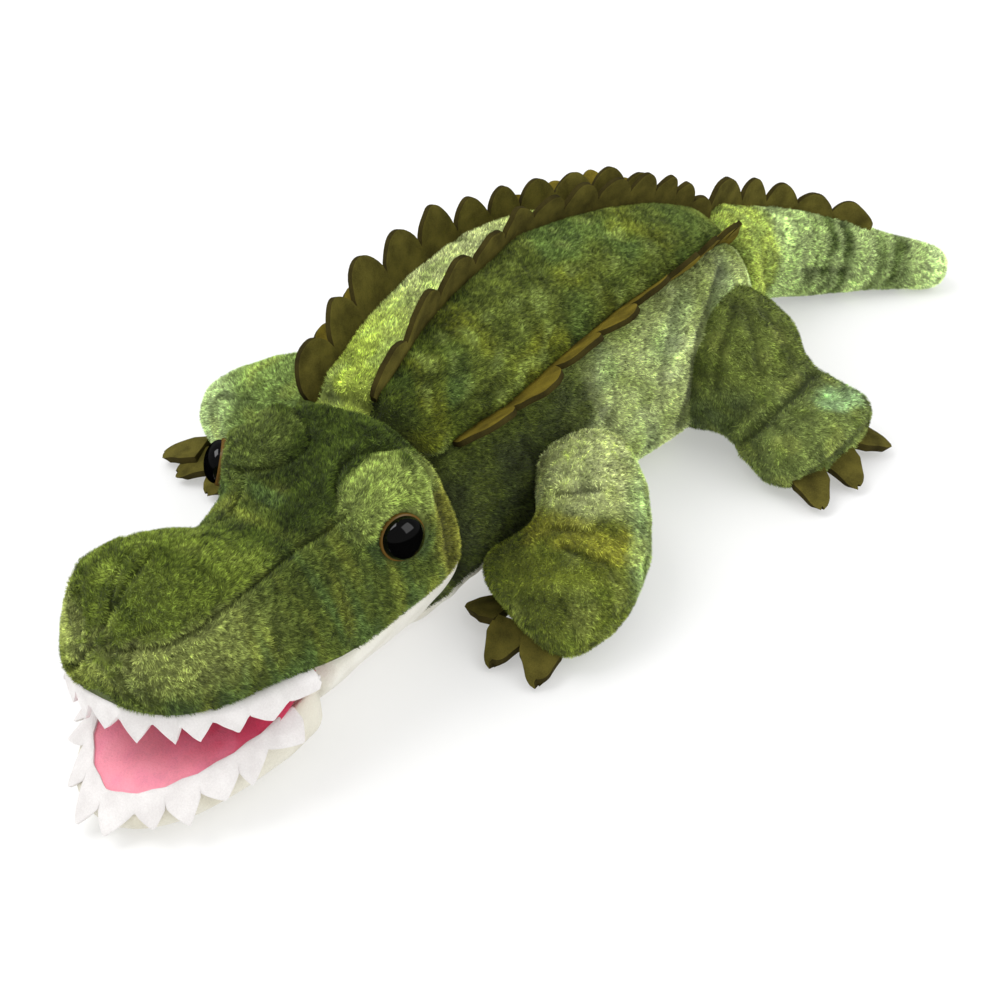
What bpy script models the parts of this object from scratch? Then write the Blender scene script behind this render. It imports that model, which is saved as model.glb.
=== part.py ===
"""A plush crocodile that lies on its belly, built as it is sewn.

Stuffed forms, fur panels over the filled body, felt back scales, felt teeth and claws, and two turned safety eyes.
The toy looks along -Y, its left side is +X, and it lies on the plane z = 0. All lengths are metres.
The stuffed forms are lofts between unlike rounded sections. Tables of shares give each section as parts of the
named sizes of its form, from the snout or the root onward.
"""

import math

import bmesh
import bpy
import numpy as np
from mathutils import Matrix, Vector

# Cloth, felt and the room between pieces
CLOTH = 0.0020
FELT = 0.0018
TOOTH_FELT = 0.0014
GAP = 0.0004
FACET_ROOM = 0.0006
SEAM_GAP = 0.0012
PRESSED = 0.0005
OVERRUN = 0.004

# Body
BODY_LENGTH = 0.243
BODY_WIDTH = 0.098
BODY_HEIGHT = 0.097
BODY_FRONT_Y = -0.143
BODY_REAR_Y = BODY_FRONT_Y + BODY_LENGTH
BODY_FRONT_ROUND = 0.024
BODY_REAR_ROUND = 0.034
BODY_ROUNDNESS_SHARE = 2.3
BELLY_ROUNDNESS_SHARE = 3.2
BODY_WIDEST_SHARE = 0.30
# along, sideways and half width as shares of the width, top as a share of the height
BODY_SHARES = (
    (0.00, 0.18, 0.33, 0.91),
    (0.12, 0.12, 0.38, 0.97),
    (0.24, 0.04, 0.44, 1.00),
    (0.40, -0.03, 0.49, 1.00),
    (0.56, -0.05, 0.49, 0.98),
    (0.72, -0.04, 0.47, 0.92),
    (0.80, -0.04, 0.44, 0.86),
    (0.88, -0.04, 0.40, 0.77),
    (0.95, -0.04, 0.34, 0.66),
    (1.00, -0.04, 0.30, 0.57),
)
# where the panels run along the body
PANEL_START_SHARE = 0.035
PANEL_END_SHARE = 0.955
# at places along the body: the spine band's width as a share, and in degrees how far the band is rolled to the right
# and how far up the body's left and right side the flank seams run
BAND_WIDTH = 0.0235
BAND_SHARES = ((0.0, 1.0), (0.42, 1.0), (0.56, 0.8), (0.68, 0.5), (0.9, 0.34), (1.0, 0.34))
ROLL_SHARES = ((0.0, 2.0), (0.18, 8.0), (0.3, 12.0), (0.5, 14.0), (0.6, 11.0), (0.7, 7.0), (0.8, 4.0), (1.0, 2.0))
FLANK_TURN_SHARES = (
    (0.0, 34.0, 30.0),
    (0.18, 34.0, 29.0),
    (0.28, 32.0, 28.0),
    (0.49, 38.0, 28.0),
    (0.6, 42.0, 32.0),
    (0.73, 47.0, 39.0),
    (0.9, 61.0, 54.0),
    (1.0, 66.0, 60.0),
)
BELLY_TURN = -64.0

# Felt scales on the body and the tail
SPINE_SCALE_HEIGHT = 0.0155
SPINE_LEAN = 11.0
# how many scales, and where the row starts, on the left and on the right of the spine
SPINE_ROWS_SHARES = ((11, 0.095), (11, 0.078))
SPINE_END_SHARE = 0.915
FLANK_SCALES = 9
FLANK_SCALE_HEIGHT = 0.0125
FLANK_START_SHARE = 0.17
FLANK_END_SHARE = 0.925
SCALE_NOTCH_SHARE = 0.18
SCALE_POWER_SHARE = 0.62
SCALE_END_SHARE = 0.62
SCALE_END_RUN_SHARE = 0.25
CREST_SCALES = 6
CREST_SCALE_HEIGHT = 0.0135
CREST_START_SHARE = 0.11
CREST_END_SHARE = 0.76
CREST_SEAT = 0.0035
CREST_TURN = 90.0

# Head, measured back from the tip of the snout, which turns a little to the toy's left
HEAD_TIP_X = 0.042
HEAD_TIP_Y = -0.243
HEAD_YAW = 10.0
HEAD_LENGTH = 0.128
HEAD_WIDTH = 0.094
HEAD_TOP = 0.096
LIP_LEVEL = 0.040
LIP_TUCK = 0.012
HEAD_FRONT_ROUND = 0.026
HEAD_REAR_ROUND = 0.022
HEAD_ROUNDNESS_SHARE = 1.9
# along, sideways and half width as shares of the width, top as a share of the top, widest level as a share of it
HEAD_SHARES = (
    (0.00, -0.07, 0.33, 0.86, 0.56),
    (0.16, -0.05, 0.34, 0.93, 0.56),
    (0.31, -0.02, 0.36, 0.88, 0.55),
    (0.45, 0.00, 0.40, 0.81, 0.54),
    (0.59, 0.00, 0.44, 0.89, 0.53),
    (0.74, 0.00, 0.465, 0.97, 0.53),
    (0.88, 0.00, 0.475, 0.98, 0.53),
    (1.00, 0.00, 0.45, 0.94, 0.53),
)

# Brow mounds over the eyes
BROW_BACK = 0.095
BROW_SIDE = 0.0255
BROW_LEVEL = 0.0785
BROW_LENGTH = 0.038
BROW_WIDTH = 0.0290
BROW_HEIGHT = 0.0320
BROW_ROUNDNESS_SHARE = 2.1

# Safety eyes
EYE_BACK = 0.0895
EYE_SIDE = 0.0380
EYE_LEVEL = 0.0675
EYE_DIAMETER = 0.0140
EYE_DOME = 0.0046
EYE_RIM = 0.0011
EYE_FORWARD_TURN = 24.0
EYE_UP_TURN = 14.0
EYE_PUPIL_SHARE = 0.86
SOCKET_FLARE = 0.0040
SOCKET_REACH = 0.0120
POST_DIAMETER = 0.0040
POST_LENGTH = 0.0130
WASHER_DIAMETER = 0.0125
WASHER_THICKNESS = 0.0016
WASHER_STAND_OFF = 0.0060
WASHER_CONE = 0.0008

# Throat and lower jaw, in the head's measure
THROAT_START = 0.0500
THROAT_LENGTH = 0.0800
THROAT_WIDTH = 0.078
THROAT_FRONT_ROUND = 0.006
THROAT_REAR_ROUND = 0.018
THROAT_SHARES = ((0.0, 0.0, 0.47), (0.25, 0.0, 0.50), (0.6, 0.0, 0.51), (1.0, 0.0, 0.48))
# The mouth's outline is a U: its corners' place, its depth to the front, its width, and how far its front leans over
MOUTH_CORNER = 0.048
MOUTH_DEPTH = 0.044
MOUTH_WIDTH = 0.066
MOUTH_ROUNDNESS_SHARE = 2.3
MOUTH_LEAN = 0.005
JAW_CORNER = 0.049
JAW_DEPTH = 0.059
JAW_WIDTH = 0.070
JAW_ROUNDNESS_SHARE = 2.3
JAW_LEAN = 0.004
FLOOR_DEPTH = 0.053
FLOOR_WIDTH = 0.060
FLOOR_ROUNDNESS_SHARE = 1.75
FLOOR_LEAN = 0.003
JAW_FRONT_TOP = 0.0135
JAW_REAR_TOP = 0.0350
JAW_REAR_ROUND = 0.004
JAW_WIDEST_SHARE = 0.55
JAW_SLOPE = 24.0
JAW_HINGE_BACK = 0.050
JAW_HINGE_LEVEL = 0.036

# Mouth lining and felt teeth
LINING = 0.0022
TOOTH_BAND = 0.0032
UPPER_TEETH = 13
UPPER_TOOTH_HEIGHT = 0.0135
UPPER_CORNER_SHARE = 0.50
LOWER_TEETH = 12
LOWER_TOOTH_HEIGHT = 0.0115
LOWER_CORNER_SHARE = 0.70
LOWER_TEETH_TURN = 12.0

# Tail: a bent form that droops to the floor and turns to the toy's left. Its places and the hind legs' are given
# sideways, back from the body's rear, and above the floor.
TAIL_PLACES = (
    (-0.003, -0.022, 0.037),
    (-0.006, 0.006, 0.028),
    (-0.004, 0.033, 0.0205),
    (0.004, 0.058, 0.017),
    (0.020, 0.081, 0.0140),
    (0.041, 0.102, 0.0110),
)
TAIL_WIDTH = 0.066
TAIL_ROOT_ROUND = 0.020
TAIL_TIP_ROUND = 0.014
# along, half width and half height as shares of the width
TAIL_SHARES = (
    (0.00, 0.50, 0.52),
    (0.20, 0.39, 0.42),
    (0.40, 0.31, 0.32),
    (0.60, 0.26, 0.265),
    (0.80, 0.20, 0.205),
    (1.00, 0.13, 0.14),
)

# Legs: shoulder or hip, elbow or knee, heel and toes
LEG_THICKNESS = 0.050
LEG_ROOT_ROUND = 0.012
TOE_ROUND = 0.014
FRONT_LEFT_PATH = (
    Vector((0.036, -0.066, 0.042)),
    Vector((0.060, -0.068, 0.036)),
    Vector((0.077, -0.080, 0.025)),
    Vector((0.0725, -0.106, 0.013)),
)
FRONT_RIGHT_PATH = (
    Vector((-0.036, -0.076, 0.032)),
    Vector((-0.056, -0.078, 0.029)),
    Vector((-0.074, -0.089, 0.022)),
    Vector((-0.083, -0.111, 0.013)),
)
HIND_LEFT_PLACES = (
    (0.020, -0.044, 0.027),
    (0.045, -0.046, 0.025),
    (0.066, -0.048, 0.018),
    (0.091, -0.048, 0.012),
)
HIND_RIGHT_PLACES = (
    (-0.032, -0.050, 0.027),
    (-0.055, -0.054, 0.025),
    (-0.073, -0.064, 0.018),
    (-0.086, -0.088, 0.012),
)
FRONT_LEG_SHARES = ((0.0, 0.50, 0.46), (0.3, 0.51, 0.45), (0.58, 0.47, 0.44), (0.8, 0.51, 0.38), (1.0, 0.50, 0.26))
HIND_LEG_SHARES = ((0.0, 0.56, 0.50), (0.3, 0.57, 0.49), (0.56, 0.47, 0.33), (0.8, 0.57, 0.31), (1.0, 0.56, 0.24))

# Felt claws
CLAW_LENGTH = 0.0115
CLAW_WIDTH = 0.0140
CLAW_TIP = 0.0030
CLAW_THICKNESS = 0.0036
CLAW_ROOT = 0.0050
CLAW_ROOT_WIDTH = 0.0100
CLAW_LEVEL = 0.0076
CLAW_FAN = 9.0
CLAW_EDGE = 0.0009
CLAW_TILT = 16.0
CLAW_SPREAD_SHARE = 0.68

# Joints: places and ranges that the pieces are shaped to clear, in degrees
NECK_X = 0.016
NECK_Y = -0.112
HEAD_TURN = (-12.0, 12.0)
TAIL_SWING = (-14.0, 14.0)
TAIL_HINGE_X = -0.004
TAIL_HINGE_BACK = -0.014
TAIL_HINGE_LEVEL = 0.036
JAW_SWING = (-2.0, 8.0)
LEG_LIFT = (-8.0, 30.0)
LEG_HINGE_SIDE = 0.036
LEG_HINGE_LEVEL = 0.046
SWING_STEP = 14.0

# Fineness of the facets, and how far apart a skin is probed for its direction
PROBE_SHARE = 0.004
PROBE_TURN = 1.5
PROBE_SPAN = 2.0
PATH_PROBES = 40
LOOK_SHARE = 0.24
BAND_MOST_SHARE = 0.85
TAIL_ROUNDNESS_SHARE = 2.1
LEG_ROUNDNESS_SHARE = 2.2
SOLE_ROUNDNESS_SHARE = 3.0
EYE_STEPS = 20
DOME_STEPS = 6
CLAW_STEPS = 5
EDGE_ANGLE = 35.0
EMPTY_SIZE = 0.02
EDGE_PROBES = 800
LINING_STEPS = 20
EVEN_SHARE = 0.45
END_ROUNDNESS_SHARE = 2.2
BODY_STEPS = 20
BODY_SIDES = 26
FORM_SIDES = 20
HEAD_STEPS = 20
LIMB_STEPS = 12
SCALE_STEPS = 6
TOOTH_STEPS = 2

# The sRGB curve: its top, where its straight part ends and how steep that is, and the rest's offset and power
SRGB_TOP = 255
SRGB_STRAIGHT_TOP = 10
SRGB_STRAIGHT_SHARE = 12.92
SRGB_OFFSET_SHARE = 0.055
SRGB_POWER = 2.4


def smooth_row(shares, t):
    """A row of a table of shares at t, on a smooth curve through its rows."""
    at = [row[0] for row in shares]
    i = max(0, min(len(at) - 2, int(np.searchsorted(at, t, side="right")) - 1))
    rows = [np.array(shares[max(0, min(len(at) - 1, i + k))][1:], float) for k in (-1, 0, 1, 2)]
    span = at[i + 1] - at[i]
    u = (t - at[i]) / span
    before = at[i] - at[max(0, i - 1)] or span
    after = at[min(len(at) - 1, i + 2)] - at[i + 1] or span
    slope_in = (rows[2] - rows[0]) / (span + before) * span
    slope_out = (rows[3] - rows[1]) / (span + after) * span
    h00 = (1 + 2 * u) * (1 - u) ** 2
    h10 = u * (1 - u) ** 2
    h01 = u * u * (3 - 2 * u)
    h11 = u * u * (u - 1)
    return h00 * rows[1] + h10 * slope_in + h01 * rows[2] + h11 * slope_out


def path_point(path, t):
    """A point on a smooth curve through the points of a path, t from 0 to 1."""
    count = len(path) - 1
    rows = tuple((i / count, *path[i]) for i in range(count + 1))
    return Vector(smooth_row(rows, t))


def behind_body(places):
    """A path through places that are given back from the body's rear."""
    return tuple(Vector((x, BODY_REAR_Y + back, level)) for x, back, level in places)


def round_end(distance, length):
    """How full a section is at a distance from a form's end that is rounded over a length."""
    if length is None:
        return 1.0
    reach = min(1.0, max(0.0, distance / length))
    return (1 - (1 - reach) ** END_ROUNDNESS_SHARE) ** (1 / END_ROUNDNESS_SHARE)


def signed_power(value, power):
    return math.copysign(abs(value) ** power, value)


class Form:
    """A stuffed form. section(t) gives its centre, its side and up directions, half width, rise and drop there."""

    def __init__(self, section, roundness, front_round, rear_round, length, floor=None, ceiling=None, under=None):
        self.section = section
        self.roundness = roundness
        self.under = under or roundness
        self.front_round = front_round
        self.rear_round = rear_round
        self.length = length
        self.floor = floor
        self.ceiling = ceiling

    def skin(self, t, turn):
        """The point on the skin at t along the form and a turn in degrees from its side, counted upward."""
        centre, side, up, half, rise, drop = self.section(t)
        full = round_end(t * self.length, self.front_round)
        full *= round_end((1 - t) * self.length, self.rear_round)
        a = math.radians(turn)
        above = math.sin(a) > 0
        power = 2 / (self.roundness if above else self.under)
        across = signed_power(math.cos(a), power) * half
        over = signed_power(math.sin(a), power) * (rise if above else drop)
        return centre + side * across * full + up * over * full

    def normal(self, t, turn):
        """The outward direction of the skin, from its steps along the form and round it."""
        near = max(PROBE_SHARE, min(1 - PROBE_SHARE, t))
        along = self.skin(near + PROBE_SHARE / 2, turn) - self.skin(near - PROBE_SHARE / 2, turn)
        round_it = self.skin(near, turn + PROBE_TURN) - self.skin(near, turn - PROBE_TURN)
        return along.cross(round_it).normalized()

    def point(self, t, turn, inset=0.0):
        """The same point moved inward by an inset, and pressed flat on the floor and under the ceiling."""
        place = self.skin(t, turn)
        if inset:
            if t <= 0 or t >= 1:
                inside = self.section(PROBE_SHARE)[0] if t <= 0 else self.section(1 - PROBE_SHARE)[0]
                place = place + (inside - place).normalized() * inset
            else:
                place = place - self.normal(t, turn) * inset
        return self.pressed(place, inset)

    def pressed(self, place, inset=0.0):
        if self.floor is not None:
            place.z = max(place.z, self.floor(place) + inset)
        if self.ceiling is not None:
            place.z = min(place.z, self.ceiling(place) - inset)
        return place


def spread(count):
    """Places from 0 to 1, closer together near both ends."""
    even = np.linspace(0, 1, count + 1)
    eased = 0.5 - 0.5 * np.cos(np.pi * even)
    return [float(v) for v in EVEN_SHARE * even + (1 - EVEN_SHARE) * eased]


def new_object(name, mesh, collection):
    piece = bpy.data.objects.new(name, mesh)
    collection.objects.link(piece)
    return piece


def form_mesh(name, form, steps, sides, inset=0.0):
    """A closed loft over a form, with a pole at each end."""
    mesh = bmesh.new()
    places = spread(steps)
    rings = []
    for t in places[1:-1]:
        rings.append([mesh.verts.new(form.point(t, 360 * k / sides, inset)) for k in range(sides)])
    first = mesh.verts.new(form.point(0.0, 0.0, inset))
    last = mesh.verts.new(form.point(1.0, 0.0, inset))
    for ring, after in zip(rings, rings[1:]):
        for k in range(sides):
            n = (k + 1) % sides
            mesh.faces.new((ring[k], after[k], after[n], ring[n]))
    for k in range(sides):
        n = (k + 1) % sides
        mesh.faces.new((first, rings[0][k], rings[0][n]))
        mesh.faces.new((last, rings[-1][n], rings[-1][k]))
    bmesh.ops.recalc_face_normals(mesh, faces=mesh.faces)
    if mesh.calc_volume(signed=True) < 0:
        bmesh.ops.reverse_faces(mesh, faces=mesh.faces)
    data = bpy.data.meshes.new(name)
    mesh.to_mesh(data)
    mesh.free()
    return data


def grid_mesh(name, rows):
    """An open sheet through rows of points."""
    mesh = bmesh.new()
    made = [[mesh.verts.new(p) for p in row] for row in rows]
    for row, after in zip(made, made[1:]):
        for a, b, c, d in zip(row, row[1:], after[1:], after):
            mesh.faces.new((a, b, c, d))
    data = bpy.data.meshes.new(name)
    mesh.to_mesh(data)
    mesh.free()
    return data


def thicken(piece, thickness, offset):
    shell = piece.modifiers.new("Thickness", "SOLIDIFY")
    shell.thickness = thickness
    shell.offset = offset
    shell.use_even_offset = False
    return shell


def cut(piece, cutter, operation="DIFFERENCE"):
    boolean = piece.modifiers.new("Cut", "BOOLEAN")
    boolean.operation = operation
    boolean.object = cutter
    boolean.solver = "EXACT"
    return boolean


def material(name, colour, roughness, metallic=0.0):
    """One Principled material. The colour is sRGB, written as three numbers from 0 to 255."""
    made = bpy.data.materials.new(name)
    made.use_nodes = True
    shader = made.node_tree.nodes["Principled BSDF"]
    linear = []
    for c in colour:
        share = c / SRGB_TOP
        if c > SRGB_STRAIGHT_TOP:
            linear.append(((share + SRGB_OFFSET_SHARE) / (1 + SRGB_OFFSET_SHARE)) ** SRGB_POWER)
        else:
            linear.append(share / SRGB_STRAIGHT_SHARE)
    shader.inputs["Base Color"].default_value = (*linear, 1.0)
    shader.inputs["Roughness"].default_value = roughness
    shader.inputs["Metallic"].default_value = metallic
    made.diffuse_color = (*linear, 1.0)
    return made


def body_section(t):
    aside, half, top = smooth_row(BODY_SHARES, t)
    height = top * BODY_HEIGHT
    middle = height * BODY_WIDEST_SHARE
    centre = Vector((aside * BODY_WIDTH, BODY_FRONT_Y + t * BODY_LENGTH, middle))
    return centre, Vector((1, 0, 0)), Vector((0, 0, 1)), half * BODY_WIDTH, height - middle, middle + PRESSED


def ground(place):
    return 0.0


def body_form():
    ends = (BODY_FRONT_ROUND, BODY_REAR_ROUND)
    return Form(body_section, BODY_ROUNDNESS_SHARE, *ends, BODY_LENGTH, floor=ground, under=BELLY_ROUNDNESS_SHARE)


HEAD_TIP = Vector((HEAD_TIP_X, HEAD_TIP_Y, 0))
BACK = Matrix.Rotation(math.radians(HEAD_YAW), 3, "Z") @ Vector((0, 1, 0))
LEFT = Matrix.Rotation(math.radians(HEAD_YAW), 3, "Z") @ Vector((1, 0, 0))
UP = Vector((0, 0, 1))


def on_head(back, left, level):
    """A place given in the head's measure: back from the snout's tip, to its left, and above the floor."""
    return HEAD_TIP + BACK * back + LEFT * left + UP * level


def head_section(t):
    aside, half, top, widest = smooth_row(HEAD_SHARES, t)
    height = top * HEAD_TOP
    middle = height * widest
    centre = on_head(t * HEAD_LENGTH, aside * HEAD_WIDTH, middle)
    return centre, LEFT, UP, half * HEAD_WIDTH, height - middle, middle - LIP_LEVEL + LIP_TUCK


def head_form():
    return Form(head_section, HEAD_ROUNDNESS_SHARE, HEAD_FRONT_ROUND, HEAD_REAR_ROUND, HEAD_LENGTH, floor=lambda p: LIP_LEVEL)


def throat_section(t):
    aside, half = smooth_row(THROAT_SHARES, t)
    top = LIP_LEVEL - GAP
    centre = on_head(THROAT_START + t * THROAT_LENGTH, aside * THROAT_WIDTH, top - LIP_TUCK / 2)
    return centre, LEFT, UP, half * THROAT_WIDTH, LIP_TUCK, top - LIP_TUCK / 2 + PRESSED


def throat_form():
    return Form(
        throat_section,
        HEAD_ROUNDNESS_SHARE,
        THROAT_FRONT_ROUND,
        THROAT_REAR_ROUND,
        THROAT_LENGTH,
        floor=ground,
        ceiling=lambda p: LIP_LEVEL - GAP,
    )


def mouth_edge(turn, corner, depth, width, roundness, lean, inset=0.0):
    """Back and left places on a mouth's U, from its left corner at turn 0 round the front to the right at 180."""
    a = math.radians(turn)
    reach = abs(math.sin(a)) ** (2 / roundness)
    across = signed_power(math.cos(a), 2 / roundness)
    return corner - (depth - inset) * reach, (width / 2 - inset) * across - lean * reach


def upper_edge(turn, inset=0.0):
    return mouth_edge(turn, MOUTH_CORNER, MOUTH_DEPTH, MOUTH_WIDTH, MOUTH_ROUNDNESS_SHARE, MOUTH_LEAN, inset)


def lower_edge(turn, inset=0.0):
    """The edge of the lower jaw's lining, from which its teeth fold outward."""
    return mouth_edge(turn, JAW_CORNER, FLOOR_DEPTH, FLOOR_WIDTH, FLOOR_ROUNDNESS_SHARE, FLOOR_LEAN, inset)


def rim_level(back):
    """The height of the lower jaw's rim, which slopes down from the mouth's corner to the front."""
    share = (back - (JAW_CORNER - JAW_DEPTH)) / JAW_DEPTH
    return JAW_FRONT_TOP + (JAW_REAR_TOP - JAW_FRONT_TOP) * share


def jaw_section(t):
    reach = (1 - t) ** JAW_ROUNDNESS_SHARE
    across = (1 - reach) ** (1 / JAW_ROUNDNESS_SHARE)
    back = JAW_CORNER - JAW_DEPTH * (1 - t)
    middle = rim_level(back) * JAW_WIDEST_SHARE
    centre = on_head(back, -JAW_LEAN * (1 - t), middle)
    drop = (middle + PRESSED) * max(across, PROBE_SHARE) ** (1 / 2)
    return centre, LEFT, UP, across * JAW_WIDTH / 2, rim_level(back) * across ** (1 / 2), drop


def outside_floor(back, left):
    """How far a place lies outside the edge of the lower jaw's lining, measured from the middle of its corners."""
    ahead = max(0.0, JAW_CORNER - back)
    share = ahead / FLOOR_DEPTH
    aside = abs(left + FLOOR_LEAN * share) / (FLOOR_WIDTH / 2)
    fullness = (share**FLOOR_ROUNDNESS_SHARE + aside**FLOOR_ROUNDNESS_SHARE) ** (1 / FLOOR_ROUNDNESS_SHARE)
    return max(0.0, math.hypot(ahead, left) * (1 - 1 / max(fullness, PROBE_SHARE)))


def jaw_top(back, left):
    """The level of the jaw's top: on the rim's plane inside the lining's edge, and sloping down outside it."""
    return rim_level(back) - math.tan(math.radians(JAW_SLOPE)) * outside_floor(back, left)


def jaw_ceiling(place):
    away = place - HEAD_TIP
    return jaw_top(away.dot(BACK), away.dot(LEFT)) - LINING - GAP


def jaw_form():
    return Form(jaw_section, HEAD_ROUNDNESS_SHARE, None, JAW_REAR_ROUND, JAW_DEPTH, floor=ground, ceiling=jaw_ceiling)


def along_path(path, shares, size, t):
    """A section on a bent path, square to its run on both sides, with its half width and half height."""
    centre = path_point(path, t)
    ahead = (path_point(path, min(1.0, t + LOOK_SHARE)) - path_point(path, max(0.0, t - LOOK_SHARE))).normalized()
    side = ahead.cross(UP).normalized()
    up = side.cross(ahead).normalized()
    half, high = smooth_row(shares, t)
    return centre, side, up, half * size, high * size, high * size


def path_length(path):
    places = [path_point(path, k / PATH_PROBES) for k in range(PATH_PROBES + 1)]
    return sum((b - a).length for a, b in zip(places, places[1:]))


def tail_form():
    path = behind_body(TAIL_PLACES)
    return Form(
        lambda t: along_path(path, TAIL_SHARES, TAIL_WIDTH, t),
        TAIL_ROUNDNESS_SHARE,
        TAIL_ROOT_ROUND,
        TAIL_TIP_ROUND,
        path_length(path),
        floor=ground,
    )


def leg_form(path, shares):
    return Form(
        lambda t: along_path(path, shares, LEG_THICKNESS, t),
        LEG_ROUNDNESS_SHARE,
        LEG_ROOT_ROUND,
        TOE_ROUND,
        path_length(path),
        floor=ground,
        under=SOLE_ROUNDNESS_SHARE,
    )


def keyed(table, t, column=1):
    """A number at t, on straight runs between the rows of a table."""
    return float(np.interp(t, [row[0] for row in table], [row[column] for row in table]))


def band_half(form, t):
    """Half the turn that the spine band takes. At the body's ends the band narrows with it."""
    half = form.section(t)[3] * round_end(t * form.length, form.front_round)
    half *= round_end((1 - t) * form.length, form.rear_round)
    share = min(BAND_MOST_SHARE, BAND_WIDTH * keyed(BAND_SHARES, t) / 2 / half)
    return 90 - math.degrees(math.acos(share ** (form.roundness / 2)))


def spine_turn(form, t, sign):
    """The turn of the seam on the left or the right of the spine band."""
    return 90 + keyed(ROLL_SHARES, t) - sign * band_half(form, t)


def flank_turn(t, sign):
    """The turn of the seam along the left or the right flank."""
    return keyed(FLANK_TURN_SHARES, t) if sign > 0 else 180 - keyed(FLANK_TURN_SHARES, t, 2)


def panel_places():
    """Where along the body the panels have their rows."""
    between = [t for t in spread(BODY_STEPS) if PANEL_START_SHARE < t < PANEL_END_SHARE]
    return [PANEL_START_SHARE, *between, PANEL_END_SHARE]


def seam_point(form, turn_at, t, inset):
    """A point on a seam, on the straight run between the two panel rows beside it."""
    places = panel_places()
    k = max(0, min(len(places) - 2, int(np.searchsorted(places, t, side="right")) - 1))
    before, after = places[k], places[k + 1]
    u = (t - before) / (after - before)
    return form.point(before, turn_at(before), inset).lerp(form.point(after, turn_at(after), inset), u)


def skin_panel(name, form, low, high, colour, parts):
    """A fur panel between two seams. low and high give the turn of its edges at t."""
    rows = []
    places = panel_places()
    sides = max(2, round(max(high(t) - low(t) for t in places) * BODY_SIDES / 360))
    for t in places:
        a, b = low(t), high(t)
        rows.append([form.point(t, a + (b - a) * k / sides) for k in range(sides + 1)])
    mesh = grid_mesh(name, rows)
    piece = new_object(name, mesh, parts)
    if mesh.polygons[len(mesh.polygons) // 2].normal.dot(rows[len(rows) // 2][sides // 2] - form.section(0.5)[0]) < 0:
        mesh.flip_normals()
    thicken(piece, CLOTH, -1)
    mesh.materials.append(colour)
    return piece


def turn_step(form, t, turn, distance):
    """How many degrees of turn cover a distance round the form at t."""
    chord = (form.skin(t, turn + PROBE_TURN) - form.skin(t, turn - PROBE_TURN)).length
    return distance * 2 * PROBE_TURN / max(chord, distance / PROBE_SPAN)


def scale_height(u, peak):
    """A scalloped edge's height: rounded tongues with notches between them."""
    tongue = abs(math.sin(math.pi * (u % 1.0))) ** SCALE_POWER_SHARE
    return peak * (SCALE_NOTCH_SHARE + (1 - SCALE_NOTCH_SHARE) * tongue)


def scale_strip(name, base, rise, grow, count, seat, peak, thickness, felt, parts):
    """A felt strip with scales. It rises from base(u) along rise(u) through its seat, then grows along grow(u)."""
    feet, collar, tops = [], [], []
    steps = count * SCALE_STEPS
    for k in range(steps + 1):
        u = k / steps
        near_end = min(1.0, u / SCALE_END_RUN_SHARE, (1 - u) / SCALE_END_RUN_SHARE)
        taper = SCALE_END_SHARE + (1 - SCALE_END_SHARE) * near_end
        foot = base(u)
        feet.append(foot)
        collar.append(foot + rise(u) * seat)
        tops.append(collar[-1] + grow(u) * scale_height(u * count, peak * taper))
    piece = new_object(name, grid_mesh(name, (feet, collar, tops)), parts)
    thicken(piece, thickness, 0)
    piece.data.materials.append(felt)
    return piece


def even_turns(edge, start, count):
    """Turns that divide the stretch of a mouth's edge from start to 180 - start into equal lengths."""
    turns = np.linspace(start, 180 - start, EDGE_PROBES)
    places = np.array([edge(v) for v in turns])
    run = np.concatenate(([0.0], np.cumsum(np.linalg.norm(np.diff(places, axis=0), axis=1))))
    return [float(v) for v in np.interp(np.linspace(0, run[-1], count + 1), run, turns)]


def tooth_share(u):
    """A zigzag from 0 in the notches to 1 at the points."""
    return 1 - abs(2 * (u % 1.0) - 1)


def corner_taper(u, least):
    """Teeth grow from the mouth's corners to its front."""
    return least + (1 - least) * math.sin(math.pi * u) ** (1 / 2)


def upper_teeth(felt, parts):
    turns = even_turns(upper_edge, 0.0, UPPER_TEETH * TOOTH_STEPS)
    seat = LIP_LEVEL - GAP - TOOTH_FELT / 2
    inner, outer, points = [], [], []
    for k, turn in enumerate(turns):
        u = k / (len(turns) - 1)
        tooth = UPPER_TOOTH_HEIGHT * corner_taper(u, UPPER_CORNER_SHARE)
        deep = TOOTH_BAND + (tooth - TOOTH_BAND) * tooth_share(u * UPPER_TEETH)
        inner.append(on_head(*upper_edge(turn, TOOTH_BAND), seat))
        outer.append(on_head(*upper_edge(turn), seat))
        points.append(on_head(*upper_edge(turn, -TOOTH_FELT / 2), LIP_LEVEL - deep))
    return felt_teeth("upper_teeth", (inner, outer, points), felt, parts)


def on_jaw(back, left):
    """A place for the felt of the lower teeth, on the jaw's top and on the run of its slope beyond the jaw."""
    return on_head(back, left, jaw_top(back, left) - LINING + TOOTH_FELT / 2)


def lower_teeth(felt, parts):
    turns = even_turns(lower_edge, LOWER_TEETH_TURN, LOWER_TEETH * TOOTH_STEPS)
    inner, outer, points = [], [], []
    for k, turn in enumerate(turns):
        u = k / (len(turns) - 1)
        tooth = LOWER_TOOTH_HEIGHT * corner_taper(u, LOWER_CORNER_SHARE)
        long = TOOTH_BAND + (tooth - TOOTH_BAND) * tooth_share(u * LOWER_TEETH)
        inner.append(on_jaw(*lower_edge(turn, TOOTH_BAND)))
        outer.append(on_jaw(*lower_edge(turn)))
        points.append(on_jaw(*lower_edge(turn, -long)))
    return felt_teeth("lower_teeth", (inner, outer, points), felt, parts)


def felt_teeth(name, rows, felt, parts):
    piece = new_object(name, grid_mesh(name, rows), parts)
    thicken(piece, TOOTH_FELT, 0)
    piece.data.materials.append(felt)
    return piece


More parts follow.
